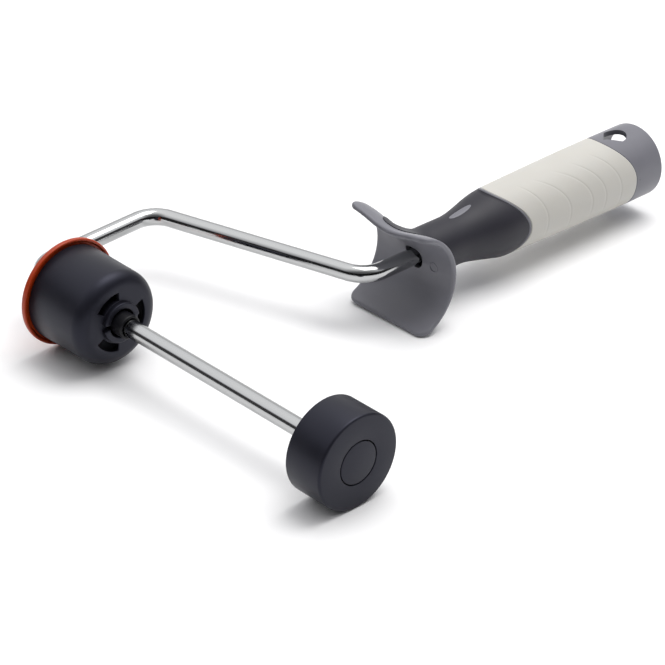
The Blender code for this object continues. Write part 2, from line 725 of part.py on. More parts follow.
def make_neck(grip, collection, cutters):
    """Soft overmould on the spine, from the back of the guard to the border ring."""
    bore = SPINE_RADIUS + FIT_GAP
    start = NECK_FLARE_START
    shares = [0.0, 0.12, 0.24, 0.38, 0.52, 0.66, 0.83, 1.0]

    def outer_ring(share):
        def ring(angle):
            end = border_place(angle) - BORDER_GAP
            place = start + (end - start) * share
            return neck_radius(place, angle), place
        return ring

    rings = [lambda angle: (bore, start)]
    rings += [outer_ring(share) for share in shares]
    rings.append(lambda angle: (bore, border_place(angle) - BORDER_GAP))
    neck = lofted("neck_overmould", rings, grip, collection, tube=True)
    clearance = cylinder(
        "guard clearance", guard_back_radius() + FIT_GAP, 3 * GUARD_WIDTH, grip, cutters,
        (0, GUARD_DROP, GUARD_CENTRE), (0, math.pi / 2, 0),
    )
    boolean(neck, "DIFFERENCE", clearance)
    window = inlay_shape("inlay window", FIT_GAP, INLAY_WINDOW_HEIGHT, grip, cutters)
    boolean(neck, "DIFFERENCE", window)
    return neck


def make_grip_sleeve(grip, collection):
    """Pale overmould on the core, between the border ring and the bare end."""
    bore = CORE_RADIUS + FIT_GAP
    shares = [0.0, 0.2, 0.4, 0.6, 0.8, 1.0]

    def front_place(angle):
        return border_place(angle) + BORDER_RING_WIDTH + BORDER_GAP

    def rear_place(angle):
        return end_border_place(angle) - BORDER_GAP

    def outer_ring(share):
        def ring(angle):
            place = front_place(angle) + (rear_place(angle) - front_place(angle)) * share
            return grip_radius(place), place
        return ring

    rings = [lambda angle: (bore, front_place(angle))]
    rings += [outer_ring(share) for share in shares]
    rings.append(lambda angle: (bore, rear_place(angle)))
    return lofted("grip_sleeve", rings, grip, collection, tube=True)


def make_pole_socket(grip, collection):
    """Tapered insert that takes the end of an extension pole, seated on a shoulder inside the core."""
    front = SOCKET_SHOULDER - INSERT_LENGTH
    seat = SOCKET_SHOULDER + FIT_GAP
    rear = seat + INSERT_FLANGE_THICKNESS
    profile = [
        (INSERT_BORE_REAR, rear),
        (INSERT_FLANGE_RADIUS, rear),
        (INSERT_FLANGE_RADIUS, seat),
        (INSERT_RADIUS, seat),
        (INSERT_RADIUS, front),
        (INSERT_BORE_FRONT, front),
    ]
    return turned("pole_socket", profile, grip, collection)


def rest_angles():
    """Lean and roll that bring the flange, the cap and the guard's lower edge to one level surface."""
    lean = math.asin((FLANGE_RADIUS - CAP_RADIUS) / HOLDER_SPAN)
    back = guard_back_radius()
    drop = math.sqrt(back**2 - (GUARD_TIP - GUARD_CENTRE) ** 2) + GUARD_DROP
    along, below = GUARD_TIP, -drop
    reach = HANDLE_BEND_REACH + along * math.cos(HANDLE_PITCH) - below * math.sin(HANDLE_PITCH)
    height = along * math.sin(HANDLE_PITCH) + below * math.cos(HANDLE_PITCH)
    side = HANDLE_OFFSET + GUARD_WIDTH / 2 - GUARD_CORNER_RADIUS
    wanted = (side * math.sin(lean) - FLANGE_RADIUS * math.cos(lean)) / math.cos(lean)
    roll = math.asin(wanted / math.hypot(reach, height)) - math.atan2(height, reach)
    return lean, roll


def settle(tool, pieces):
    """Moves the whole tool so that the origin is under the middle of its bounding box."""
    bpy.context.view_layer.update()
    graph = bpy.context.evaluated_depsgraph_get()
    points = []
    for piece in pieces:
        shape = piece.evaluated_get(graph)
        points += [shape.matrix_world @ vertex.co for vertex in shape.data.vertices]
    low = [min(point[axis] for point in points) for axis in range(3)]
    high = [max(point[axis] for point in points) for axis in range(3)]
    tool.location = (-(low[0] + high[0]) / 2, -(low[1] + high[1]) / 2, -low[2])
    bpy.context.view_layer.update()


def main():
    clear_scene()
    collection = new_collection("paint_roller_frame")
    cutters = new_collection("cutters")
    cutters.hide_render = True
    lean, roll = rest_angles()
    tool = add_empty("tool", None, collection)
    tool.matrix_world = Matrix.Rotation(lean, 4, "Y") @ Matrix.Rotation(roll, 4, "X")
    axle_turn = (0, math.pi / 2, 0)
    axle = add_empty("axle", tool, collection, rotation=axle_turn)
    cup_spin = add_empty("cup_spin", tool, collection, rotation=axle_turn)
    cap_spin = add_empty("cap_spin", tool, collection, rotation=axle_turn)
    grip = add_empty(
        "grip", tool, collection,
        (HANDLE_OFFSET, HANDLE_BEND_REACH, 0), (HANDLE_PITCH - math.pi / 2, 0, 0),
    )

    chrome = plain_material("chrome_plated_steel", (0.62, 0.62, 0.64), 0.12, 1.0)
    charcoal = plain_material("charcoal_plastic", (0.035, 0.035, 0.045), 0.42)
    orange = plain_material("orange_plastic", (0.55, 0.12, 0.03), 0.45)
    acetal = plain_material("black_acetal", (0.02, 0.02, 0.025), 0.4)
    spring_steel = plain_material("spring_steel", (0.25, 0.25, 0.27), 0.35, 1.0)
    grey = plain_material("grey_plastic", (0.21, 0.21, 0.235), 0.4)
    neck_rubber = plain_material("dark_soft_plastic", (0.04, 0.04, 0.045), 0.55)
    ivory = plain_material("ivory_soft_plastic", (0.68, 0.66, 0.60), 0.5)

    flange_rear = CUP_HUB_REAR - FIT_GAP - BUSH_FLANGE_THICKNESS
    inner_washer_place = flange_rear - FIT_GAP - WASHER_THICKNESS
    outer_washer_place = cap_web_place() + FIT_GAP
    pieces = [
        finish_piece(make_frame_rod(tool, collection), chrome),
        finish_piece(make_stop_flange(cup_spin, collection), orange),
        finish_piece(make_inner_cup(cup_spin, collection, cutters), charcoal),
        finish_piece(make_inner_bush(axle, collection), acetal),
        finish_piece(make_outer_bush(axle, collection), acetal),
        finish_piece(make_outer_cap(cap_spin, collection, cutters), charcoal),
        finish_piece(make_cap_plug(cap_spin, collection), charcoal),
        finish_piece(make_handle_core(grip, collection, cutters), grey),
        finish_piece(make_neck(grip, collection, cutters), neck_rubber),
        finish_piece(make_grip_sleeve(grip, collection), ivory),
        finish_piece(make_pole_socket(grip, collection), acetal),
    ]
    for name, place in (("inner_lock_washer", inner_washer_place), ("outer_lock_washer", outer_washer_place)):
        washer = make_lock_washer(name, place, axle, collection, cutters)
        pieces.append(finish_piece(washer, spring_steel))
    settle(tool, pieces)


main()
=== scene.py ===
"""A paint roller frame for 180 mm sleeves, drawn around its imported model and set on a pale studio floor."""

import json
import math

import bmesh
import bpy
from mathutils import Matrix, Vector


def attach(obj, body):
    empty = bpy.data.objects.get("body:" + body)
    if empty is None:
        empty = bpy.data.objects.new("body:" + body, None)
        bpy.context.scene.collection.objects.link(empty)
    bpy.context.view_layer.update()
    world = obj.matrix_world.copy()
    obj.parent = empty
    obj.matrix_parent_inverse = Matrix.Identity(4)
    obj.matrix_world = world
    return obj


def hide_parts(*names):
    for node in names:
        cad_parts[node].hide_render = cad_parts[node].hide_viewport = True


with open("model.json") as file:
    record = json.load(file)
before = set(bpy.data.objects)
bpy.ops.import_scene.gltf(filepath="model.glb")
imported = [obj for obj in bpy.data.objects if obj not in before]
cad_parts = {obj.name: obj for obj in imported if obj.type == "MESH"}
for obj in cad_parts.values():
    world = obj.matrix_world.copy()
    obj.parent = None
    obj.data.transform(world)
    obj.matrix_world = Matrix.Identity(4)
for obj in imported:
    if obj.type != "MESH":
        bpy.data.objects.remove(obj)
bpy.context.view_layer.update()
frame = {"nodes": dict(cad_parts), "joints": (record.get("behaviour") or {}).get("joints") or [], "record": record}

# -----------------------------------------------------------------------------------------------------------
# The bent rod. One length of 8 mm cold-drawn round steel, bent three times in one plane, then chrome plated.
# Its long end is the axle. Its short end is pressed into the handle, and falls a little below that plane.
# -----------------------------------------------------------------------------------------------------------
ROD_RADIUS = 0.004
BEND_RADIUS = 0.0125
FLANGE_THICKNESS = 0.0025
HOLDER_SPAN = 0.1809
AXLE_TO_ARM = 0.0247
ARM_LENGTH = 0.0691
HANDLE_OFFSET = 0.0823
HANDLE_BEND_REACH = 0.0989
HANDLE_FALL = math.radians(2.7)
ROD_IN_HANDLE = 0.076
ROD_SIDES = 64
ROD_END_SUNK = 0.0033
ROD_CHAMFER = 0.0006
BEND_FLATTENING = 0.03

mounts = {mount["name"]: mount for mount in frame["record"]["mounts"]}
spins = {joint["name"]: joint for joint in frame["joints"]}
along_axle = Vector(spins["inner_holder_spin"]["axis"]).normalized()
along_handle = Vector(mounts["handle_end"]["axis"]).normalized()
on_axle = Vector(spins["inner_holder_spin"]["pos_m"])
to_flange_face = (Vector(mounts["sleeve_stop"]["pos_m"]) - on_axle).dot(along_axle)
flange_back = on_axle + along_axle * (to_flange_face - FLANGE_THICKNESS)

to_handle = Matrix.Rotation(HANDLE_FALL, 3, along_axle) @ along_handle
tool_up = along_axle.cross(to_handle)
handle_up = along_axle.cross(along_handle)
last_bend = flange_back + along_axle * HANDLE_OFFSET + to_handle * HANDLE_BEND_REACH


def axes(origin, x, y, z):
    """A matrix that takes local X, Y and Z to the given directions at the given origin."""
    turn = Matrix((x, y, z)).transposed().to_4x4()
    return Matrix.Translation(origin) @ turn


tool_space = axes(flange_back, along_axle, to_handle, tool_up)
axle_space = axes(flange_back, -tool_up, to_handle, along_axle)
handle_space = axes(last_bend, along_axle, -handle_up, along_handle)


def eased(corners, steps=5, closed=True):
    """A line through corners (point, radius) with an arc in place of each corner that has a radius."""
    line = []
    count = len(corners)
    for number, (corner, radius) in enumerate(corners):
        corner = Vector(corner)
        if radius == 0 or (not closed and number in (0, count - 1)):
            line.append(corner)
            continue
        back = (Vector(corners[number - 1][0]) - corner).normalized()
        ahead = (Vector(corners[(number + 1) % count][0]) - corner).normalized()
        half = back.angle(ahead) / 2
        centre = corner + (back + ahead).normalized() * radius / math.sin(half)
        first = (corner + back * radius / math.tan(half) - centre).normalized()
        last = (corner + ahead * radius / math.tan(half) - centre).normalized()
        line += [centre + radius * first.slerp(last, step / steps) for step in range(steps + 1)]
    return line


def skin(name, rows, space, material, hoop=True, ends="open", crease=35):
    """A mesh over rows of points. hoop closes each row; ends are open, capped, or joined to each other."""
    shape = bmesh.new()
    made = [[shape.verts.new(point) for point in row] for row in rows]
    width = len(made[0])
    pairs = list(zip(made, made[1:]))
    if ends == "joined":
        pairs.append((made[-1], made[0]))
    for near, far in pairs:
        for number in range(width if hoop else width - 1):
            after = (number + 1) % width
            shape.faces.new((near[number], near[after], far[after], far[number]))
    if ends == "capped":
        shape.faces.new(made[0])
        shape.faces.new(made[-1])
    bmesh.ops.remove_doubles(shape, verts=shape.verts, dist=0.0000005)
    bmesh.ops.recalc_face_normals(shape, faces=shape.faces)
    mesh = bpy.data.meshes.new(name)
    shape.to_mesh(mesh)
    shape.free()
    mesh.shade_smooth()
    mesh.set_sharp_from_angle(angle=math.radians(crease))
    mesh.materials.append(material)
    piece = bpy.data.objects.new(name, mesh)
    piece.matrix_world = space
    bpy.context.scene.collection.objects.link(piece)
    return piece


def linear(hex_colour):
    """An sRGB hex colour as the linear red, green, blue and alpha that a shader takes."""
    parts = [int(hex_colour[start:start + 2], 16) / 255 for start in (0, 2, 4)]
    return [*(part / 12.92 if part <= 0.04045 else ((part + 0.055) / 1.055) ** 2.4 for part in parts), 1.0]


def add(tree, kind, inputs=None, **settings):
    """Adds a node with its settings, and fills its inputs with values or with other nodes' outputs."""
    made = tree.nodes.new(kind)
    for name, value in settings.items():
        setattr(made, name, value)
    for socket, value in (inputs or {}).items():
        if isinstance(value, bpy.types.NodeSocket):
            tree.links.new(value, made.inputs[socket])
        else:
            made.inputs[socket].default_value = value
    return made


# Bright chrome plate over drawn steel: a clean mirror with the faintest lines of the drawing die along it,
# and a slow unevenness in its polish that makes the edges of the reflections waver.
chrome = bpy.data.materials.new("bright_chrome_plate")
chrome.use_nodes = True
tree = chrome.node_tree
shader = tree.nodes["Principled BSDF"]
shader.inputs["Metallic"].default_value = 1.0
shader.inputs["Base Color"].default_value = linear("b6b7b7")
place = add(tree, "ShaderNodeTexCoord").outputs["Object"]
drawn = add(tree, "ShaderNodeMapping", {"Vector": place, "Scale": (0.02, 1.0, 1.0)})
die_lines = add(tree, "ShaderNodeTexNoise", {"Vector": drawn.outputs[0], "Scale": 1 / 0.0006, "Detail": 4.0})
polish = add(tree, "ShaderNodeTexNoise", {"Vector": place, "Scale": 1 / 0.006, "Detail": 2.0})
roughness = add(tree, "ShaderNodeMapRange", {"Value": polish.outputs["Fac"], "To Min": 0.09, "To Max": 0.17})
tree.links.new(roughness.outputs[0], shader.inputs["Roughness"])
waver = add(tree, "ShaderNodeBump", {"Height": polish.outputs["Fac"], "Strength": 0.08, "Distance": 0.0003})
lines = add(
    tree, "ShaderNodeBump",
    {"Height": die_lines.outputs["Fac"], "Strength": 0.05, "Distance": 0.0001, "Normal": waver.outputs[0]},
)
tree.links.new(lines.outputs[0], shader.inputs["Normal"])

rod_end = HOLDER_SPAN - ROD_END_SUNK
tail = Vector((0, math.cos(HANDLE_FALL), -math.sin(HANDLE_FALL)))
bend_at_handle = Vector((HANDLE_OFFSET, HANDLE_BEND_REACH, 0))
route = eased(
    [
        ((rod_end, 0, 0), 0),
        ((-AXLE_TO_ARM, 0, 0), BEND_RADIUS),
        ((-AXLE_TO_ARM, ARM_LENGTH, 0), BEND_RADIUS),
        (bend_at_handle, BEND_RADIUS),
        (bend_at_handle + tail * ROD_IN_HANDLE, 0),
    ],
    steps=20, closed=False,
)
route.insert(1, route[0] + (route[1] - route[0]).normalized() * ROD_CHAMFER)
route.insert(-1, route[-1] + (route[-2] - route[-1]).normalized() * ROD_CHAMFER)
rod_rows = []
side = Vector((0, 0, 1))
for number, point in enumerate(route):
    before = route[max(number - 1, 0)]
    after = route[min(number + 1, len(route) - 1)]
    ahead = (after - before).normalized()
    up = (side - ahead * side.dot(ahead)).normalized()
    across = ahead.cross(up)
    bent = 0 < number < len(route) - 1 and (point - before).angle(after - point) > math.radians(0.5)
    tall = ROD_RADIUS - ROD_CHAMFER if number in (0, len(route) - 1) else ROD_RADIUS
    narrow = tall * (1 - BEND_FLATTENING) if bent else tall
    turns = [2 * math.pi * step / ROD_SIDES for step in range(ROD_SIDES)]
    rod_rows.append([point + across * narrow * math.cos(t) + up * tall * math.sin(t) for t in turns])
rod = skin("bent_rod", rod_rows, tool_space, chrome, ends="capped")
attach(rod, "frame")
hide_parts("frame_rod")

# -----------------------------------------------------------------------------------------------------------
# The inner holder's stop flange. An orange moulded ring, pressed by its spigot into the back of the cup. A
# low lip runs round its front, where the end of the sleeve meets it.
# -----------------------------------------------------------------------------------------------------------
FLANGE_RADIUS = 0.0244
FLANGE_HOLE = 0.0105
LIP_WIDTH = 0.0012
LIP_HEIGHT = 0.0010
LIP_RAMP = 0.0005
SPIGOT_OUTER = 0.0196
SPIGOT_INNER = 0.0180
SPIGOT_END = 0.0070
LIP_FOOT = FLANGE_RADIUS - LIP_WIDTH - 0.0004


def turned(name, corners, space, material, sides=144, steps=4, crease=35):
    """A turned piece about local Z from a closed profile of corners (radius, place, rounding)."""
    profile = eased([((radius, 0, place), rounding) for radius, place, rounding in corners], steps)
    turns = [2 * math.pi * side / sides for side in range(sides)]
    rows = [[(point.x * math.cos(t), point.x * math.sin(t), point.z) for t in turns] for point in profile]
    return skin(name, rows, space, material, ends="joined", crease=crease)


def moulded(name, colours, clouds, grain, rough, relief, detail=(3.0, 3.0), rough_by_grain=False):
    """A moulded skin: two close colours in slow clouds, a fine grain in relief, a roughness that drifts."""
    material = bpy.data.materials.new(name)
    material.use_nodes = True
    tree = material.node_tree
    shader = tree.nodes["Principled BSDF"]
    place = add(tree, "ShaderNodeTexCoord").outputs["Object"]
    flow = add(tree, "ShaderNodeTexNoise", {"Vector": place, "Scale": 1 / clouds, "Detail": detail[0]})
    tint = add(tree, "ShaderNodeMix", {"Factor": flow.outputs["Fac"]}, data_type="RGBA")
    tint.inputs["A"].default_value, tint.inputs["B"].default_value = map(linear, colours)
    tree.links.new(tint.outputs["Result"], shader.inputs["Base Color"])
    grains = add(tree, "ShaderNodeTexNoise", {"Vector": place, "Scale": 1 / grain, "Detail": detail[1]})
    drift = grains if rough_by_grain else flow
    roughness = add(
        tree, "ShaderNodeMapRange", {"Value": drift.outputs["Fac"], "To Min": rough[0], "To Max": rough[1]},
    )
    tree.links.new(roughness.outputs[0], shader.inputs["Roughness"])
    bump = add(
        tree, "ShaderNodeBump", {"Height": grains.outputs["Fac"], "Strength": relief, "Distance": 0.0001},
    )
    tree.links.new(bump.outputs[0], shader.inputs["Normal"])
    return material, shader


# Orange polypropylene, injection moulded: a strong colour right through, a soft satin skin, and a little
# light scattered under the surface, which warms its thin lip. Its 0.5 mm grain is drawn coarser than life.
orange, shader = moulded(
    "moulded_orange_polypropylene", ("a03208", "ac390b"), clouds=0.008, grain=0.0005, rough=(0.3, 0.46),
    relief=0.12, detail=(3.0, 2.0), rough_by_grain=True,
)
shader.inputs["IOR"].default_value = 1.49
shader.inputs["Specular IOR Level"].default_value = 0.4
shader.inputs["Subsurface Weight"].default_value = 0.12
shader.inputs["Subsurface Scale"].default_value = 0.001
shader.inputs["Subsurface Radius"].default_value = (1.0, 0.3, 0.1)

flange = turned(
    "stop_flange_ring",
    [
        (SPIGOT_INNER, SPIGOT_END, 0.0003),
        (SPIGOT_OUTER, SPIGOT_END, 0.0005),
        (SPIGOT_OUTER, FLANGE_THICKNESS - LIP_HEIGHT, 0.0003),
        (LIP_FOOT, FLANGE_THICKNESS - LIP_HEIGHT, 0.0004),
        (LIP_FOOT + LIP_RAMP, FLANGE_THICKNESS, 0.0003),
        (FLANGE_RADIUS, FLANGE_THICKNESS, 0.0006),
        (FLANGE_RADIUS, 0, 0.0009),
        (FLANGE_HOLE, 0, 0.0004),
        (FLANGE_HOLE, FLANGE_THICKNESS - LIP_HEIGHT, 0.0004),
        (SPIGOT_INNER, FLANGE_THICKNESS - LIP_HEIGHT, 0.0004),
    ],
    axle_space, orange,
)
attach(flange, "inner_holder")
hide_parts("stop_flange")

# -----------------------------------------------------------------------------------------------------------
# The inner cup. A charcoal moulding that carries the near end of the sleeve: a shell with a well-rounded
# front, pierced by three arc windows round a hub. Two snap fingers stand round the hub's mouth, and three
# ribs brace it.
# -----------------------------------------------------------------------------------------------------------
CUP_REAR = 0.0023
CUP_FRONT = 0.0360
CUP_REAR_RADIUS = 0.0219
CUP_FRONT_RADIUS = 0.0215
CUP_EDGE = 0.0060
CUP_WALL = 0.002
CUP_CROWN = 0.0003
HUB_RADIUS = 0.0093
HUB_BORE = 0.0070
HUB_REAR = 0.0105
HUB_PROUD = 0.002
HUB_ROOT = 0.0015
FINGER_ROOT = 0.001
WINDOW_INNER = 0.0099
WINDOW_OUTER = 0.0138
WINDOW_HALF = 28
HOLDER_TURN = 86
WINDOW_COUNT = 3
FINGER_GAP = 0.0030
FINGER_BORE = 0.0063

# Charcoal polypropylene, injection moulded in a fine-blasted tool: nearly black with a faint blue cast, and
# satin, with a fine grain that is drawn here at 0.6 mm, coarser than life, so that it shows.
charcoal, shader = moulded(
    "moulded_charcoal_polypropylene", ("15151b", "191920"), clouds=0.012, grain=0.0006, rough=(0.36, 0.48),
    relief=0.15,
)
shader.inputs["IOR"].default_value = 1.49
shader.inputs["Specular IOR Level"].default_value = 0.34
shader.inputs["Specular Tint"].default_value = linear("dfe2ff")


def hoop(radius, place, sides):
    """A round row of points about local Z."""
    turns = [2 * math.pi * side / sides for side in range(sides)]
    return [(radius * math.cos(t), radius * math.sin(t), place) for t in turns]


def add_modifier(piece, kind, **settings):
    """Adds a modifier with its settings."""
    modifier = piece.modifiers.new(kind.lower(), kind)
    for name, value in settings.items():
        setattr(modifier, name, value)
    return modifier


def apply_modifiers(piece, crease=35):
    """Turns a piece's modifiers into its mesh."""
    bpy.context.view_layer.update()
    graph = bpy.context.evaluated_depsgraph_get()
    mesh = bpy.data.meshes.new_from_object(piece.evaluated_get(graph))
    piece.modifiers.clear()
    piece.data = mesh
    mesh.shade_smooth()
    mesh.set_sharp_from_angle(angle=math.radians(crease))


shell_line = [Vector((CUP_REAR_RADIUS, 0, CUP_REAR))]
shell_line += eased(
    [
        ((CUP_REAR_RADIUS, 0, CUP_REAR), 0),
        ((CUP_FRONT_RADIUS, 0, CUP_FRONT - CUP_CROWN), CUP_EDGE),
        ((WINDOW_OUTER, 0, CUP_FRONT - CUP_CROWN / 3), 0),
        ((WINDOW_INNER, 0, CUP_FRONT), 0),
        ((HUB_BORE, 0, CUP_FRONT), 0),
    ],
    steps=12, closed=False,
)[1:]
CUP_SIDES = 180
cup_shell = skin("cup_shell", [hoop(p.x, p.z, CUP_SIDES) for p in shell_line], axle_space, charcoal)
cut = bmesh.new()
cut.from_mesh(cup_shell.data)
holes = []
for face in cut.faces:
    middle = face.calc_center_median()
    turn = math.degrees(math.atan2(middle.y, middle.x)) - HOLDER_TURN
    turn = (turn + 180 / WINDOW_COUNT) % (360 / WINDOW_COUNT) - 180 / WINDOW_COUNT
    on_front = WINDOW_INNER < middle.xy.length < WINDOW_OUTER and middle.z > CUP_FRONT - CUP_WALL
    if on_front and abs(turn) < WINDOW_HALF:
        holes.append(face)
bmesh.ops.delete(cut, geom=holes, context="FACES")
cut.to_mesh(cup_shell.data)
cut.free()
add_modifier(cup_shell, "SOLIDIFY", thickness=CUP_WALL, offset=-1, use_even_offset=True)
add_modifier(
    cup_shell, "BEVEL", width=0.00025, segments=2, limit_method="ANGLE", angle_limit=math.radians(50),
)
apply_modifiers(cup_shell)
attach(cup_shell, "inner_holder")
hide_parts("inner_cup")

cup_hub = turned(
    "cup_hub",
    [
        (HUB_BORE, CUP_FRONT - HUB_ROOT, 0),
        (HUB_RADIUS, CUP_FRONT - HUB_ROOT, 0),
        (HUB_RADIUS, HUB_REAR, 0.0003),
        (HUB_BORE, HUB_REAR, 0.0003),
    ],
    axle_space, charcoal,
)
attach(cup_hub, "inner_holder")

for number in range(2):
    finger_profile = eased(
        [
            ((FINGER_BORE, 0, CUP_FRONT - FINGER_ROOT), 0),
            ((FINGER_BORE, 0, CUP_FRONT + HUB_PROUD), 0.0009),
            ((HUB_RADIUS, 0, CUP_FRONT + HUB_PROUD), 0.0006),
            ((HUB_RADIUS, 0, CUP_FRONT - FINGER_ROOT), 0),
        ],
    )
    gap = FINGER_GAP / HUB_RADIUS / 2
    start = math.radians(HOLDER_TURN + 180 * number) + gap
    sweep = math.pi - 2 * gap
    rows = []
    for step in range(41):
        t = start + sweep * step / 40
        rows.append([(p.x * math.cos(t), p.x * math.sin(t), p.z) for p in finger_profile])
    finger = skin(f"hub_finger_{number + 1}", rows, axle_space, charcoal, ends="capped")
    add_modifier(
        finger, "BEVEL", width=0.0002, segments=2, limit_method="ANGLE", angle_limit=math.radians(60),
    )
    apply_modifiers(finger)
    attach(finger, "inner_holder")


def plate(name, outline, thickness, turn, space, material):
    """A flat rib in a plane through local Z, its outline given as (radius, place)."""
    rows = []
    for side in (-thickness / 2, thickness / 2):
        rows.append([(radius, side, place) for radius, place in outline])
    return skin(name, rows, space @ Matrix.Rotation(turn, 4, "Z"), material, ends="capped")


RIB_THICKNESS = 0.0016
RIB_BITE = 0.001
RIB_AT_WALL = 0.010
RIB_AT_HUB = 0.018
rib_corner = eased(
    [
        ((CUP_FRONT_RADIUS - RIB_BITE, 0, RIB_AT_WALL), 0),
        ((CUP_FRONT_RADIUS - RIB_BITE, 0, CUP_FRONT - RIB_BITE), CUP_EDGE - RIB_BITE),
        ((HUB_RADIUS - RIB_BITE, 0, CUP_FRONT - RIB_BITE), 0),
    ],
    closed=False,
)
rib_outline = [(HUB_RADIUS - RIB_BITE, RIB_AT_HUB)] + [(p.x, p.z) for p in rib_corner]
for number in range(WINDOW_COUNT):
    turn = math.radians(HOLDER_TURN + 360 * (number + 0.5) / WINDOW_COUNT)
    rib = plate(f"cup_rib_{number + 1}", rib_outline, RIB_THICKNESS, turn, axle_space, charcoal)
    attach(rib, "inner_holder")

# -----------------------------------------------------------------------------------------------------------
# The bushes and lock washers. Each holder runs on a black acetal bush that is pressed on the rod. A spring
# steel push-on washer behind each one keeps it in place. The inner bush's nose stands out of the cup's hub.
# -----------------------------------------------------------------------------------------------------------
BUSH_RADIUS = 0.0061
BUSH_BORE = 0.0043
BUSH_NOSE_RADIUS = 0.0054
BUSH_FLANGE_RADIUS = 0.0082
BUSH_FLANGE_THICKNESS = 0.0014
BUSH_SEAT = 0.0102
BUSH_INSET = 0.0005
NOSE_TIP = 0.0430
NOSE_ROOT = 0.0340
NOSE_TAPER = 0.001

# Black acetal, turned smooth: darker than the charcoal moulding round it, with faint tool marks drawn at
# 2.5 mm, far coarser than life, so that they show.
acetal = bpy.data.materials.new("turned_black_acetal")
acetal.use_nodes = True
tree = acetal.node_tree
shader = tree.nodes["Principled BSDF"]
shader.inputs["IOR"].default_value = 1.48
shader.inputs["Specular IOR Level"].default_value = 0.25
place = add(tree, "ShaderNodeTexCoord").outputs["Object"]
cloud = add(tree, "ShaderNodeTexNoise", {"Vector": place, "Scale": 1 / 0.004, "Detail": 3.0})
tint = add(tree, "ShaderNodeMix", {"Factor": cloud.outputs["Fac"]}, data_type="RGBA")
tint.inputs["A"].default_value = linear("0d0d12")
tint.inputs["B"].default_value = linear("111116")
tree.links.new(tint.outputs["Result"], shader.inputs["Base Color"])
tool_marks = add(
    tree, "ShaderNodeTexWave", {"Vector": place, "Scale": 1 / 0.0025, "Distortion": 0.6, "Detail": 2.0},
    bands_direction="Z",
)
roughness = add(tree, "ShaderNodeMapRange", {"Value": cloud.outputs["Fac"], "To Min": 0.34, "To Max": 0.46})
tree.links.new(roughness.outputs[0], shader.inputs["Roughness"])
mark_bump = add(
    tree, "ShaderNodeBump", {"Height": tool_marks.outputs["Fac"], "Strength": 0.06, "Distance": 0.0001},
)
tree.links.new(mark_bump.outputs[0], shader.inputs["Normal"])

inner_bush = turned(
    "inner_bush_sleeve",
    [
        (BUSH_BORE, NOSE_TIP, 0.0002),
        (BUSH_NOSE_RADIUS, NOSE_TIP, 0.0007),
        (BUSH_NOSE_RADIUS, NOSE_ROOT, 0.0003),
        (BUSH_RADIUS, NOSE_ROOT - NOSE_TAPER, 0),
        (BUSH_RADIUS, BUSH_SEAT, 0),
        (BUSH_FLANGE_RADIUS, BUSH_SEAT, 0.0003),
        (BUSH_FLANGE_RADIUS, BUSH_SEAT - BUSH_FLANGE_THICKNESS, 0.0003),
        (BUSH_BORE, BUSH_SEAT - BUSH_FLANGE_THICKNESS, 0.0002),
    ],
    axle_space, acetal, sides=96,
)
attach(inner_bush, "frame")
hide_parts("inner_bush")

CAP_DEPTH = 0.0193
CAP_REAR = HOLDER_SPAN - CAP_DEPTH
CAP_WEB = 0.1756
outer_bush = turned(
    "outer_bush_sleeve",
    [
        (BUSH_BORE, CAP_WEB, 0.0002),
        (BUSH_RADIUS, CAP_WEB, 0.0003),
        (BUSH_RADIUS, CAP_REAR + BUSH_INSET + BUSH_FLANGE_THICKNESS, 0),
        (BUSH_FLANGE_RADIUS, CAP_REAR + BUSH_INSET + BUSH_FLANGE_THICKNESS, 0.0003),
        (BUSH_FLANGE_RADIUS, CAP_REAR + BUSH_INSET, 0.0003),
        (BUSH_BORE, CAP_REAR + BUSH_INSET, 0.0002),
    ],
    axle_space, acetal, sides=96,
)
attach(outer_bush, "frame")
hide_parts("outer_bush")

# Blued spring steel, stamped from strip and left as it comes from the oil quench: dark, with a straw bloom.
spring_steel = bpy.data.materials.new("blued_spring_steel")
spring_steel.use_nodes = True
tree = spring_steel.node_tree
shader = tree.nodes["Principled BSDF"]
shader.inputs["Metallic"].default_value = 1.0
place = add(tree, "ShaderNodeTexCoord").outputs["Object"]
bloom = add(tree, "ShaderNodeTexNoise", {"Vector": place, "Scale": 1 / 0.003, "Detail": 4.0})
tint = add(tree, "ShaderNodeMix", {"Factor": bloom.outputs["Fac"]}, data_type="RGBA")
tint.inputs["A"].default_value = linear("53555c")
tint.inputs["B"].default_value = linear("7b746b")
tree.links.new(tint.outputs["Result"], shader.inputs["Base Color"])
roughness = add(tree, "ShaderNodeMapRange", {"Value": bloom.outputs["Fac"], "To Min": 0.3, "To Max": 0.5})
tree.links.new(roughness.outputs[0], shader.inputs["Roughness"])
for name in ("inner_lock_washer", "outer_lock_washer"):
    washer = frame["nodes"][name]
    washer.data.materials.clear()
    washer.data.materials.append(spring_steel)

# -----------------------------------------------------------------------------------------------------------
# The outer cap. A charcoal moulding that carries the far end of the sleeve, open on its inboard side, with
# six ribs from its hub to its wall. A round plug, pressed in flush, closes the seat over the end of the rod.
# -----------------------------------------------------------------------------------------------------------
CAP_RADIUS = 0.0210
CAP_WALL = 0.0024
CAP_FRONT_EDGE = 0.0011
PLUG_RADIUS = 0.0094
PLUG_THICKNESS = 0.0027
SEAT_RADIUS = 0.0098
SEAT_MOUTH = 0.0086
CAP_HUB_RADIUS = 0.0084
CAP_HUB_INSET = 0.0022
CAP_RIB_COUNT = 6
CAP_RIB_INSET = 0.004
CAP_RIB_BITE = 0.0006
PLUG_GAP = 0.0003
plug_seat = HOLDER_SPAN - PLUG_THICKNESS - PLUG_GAP

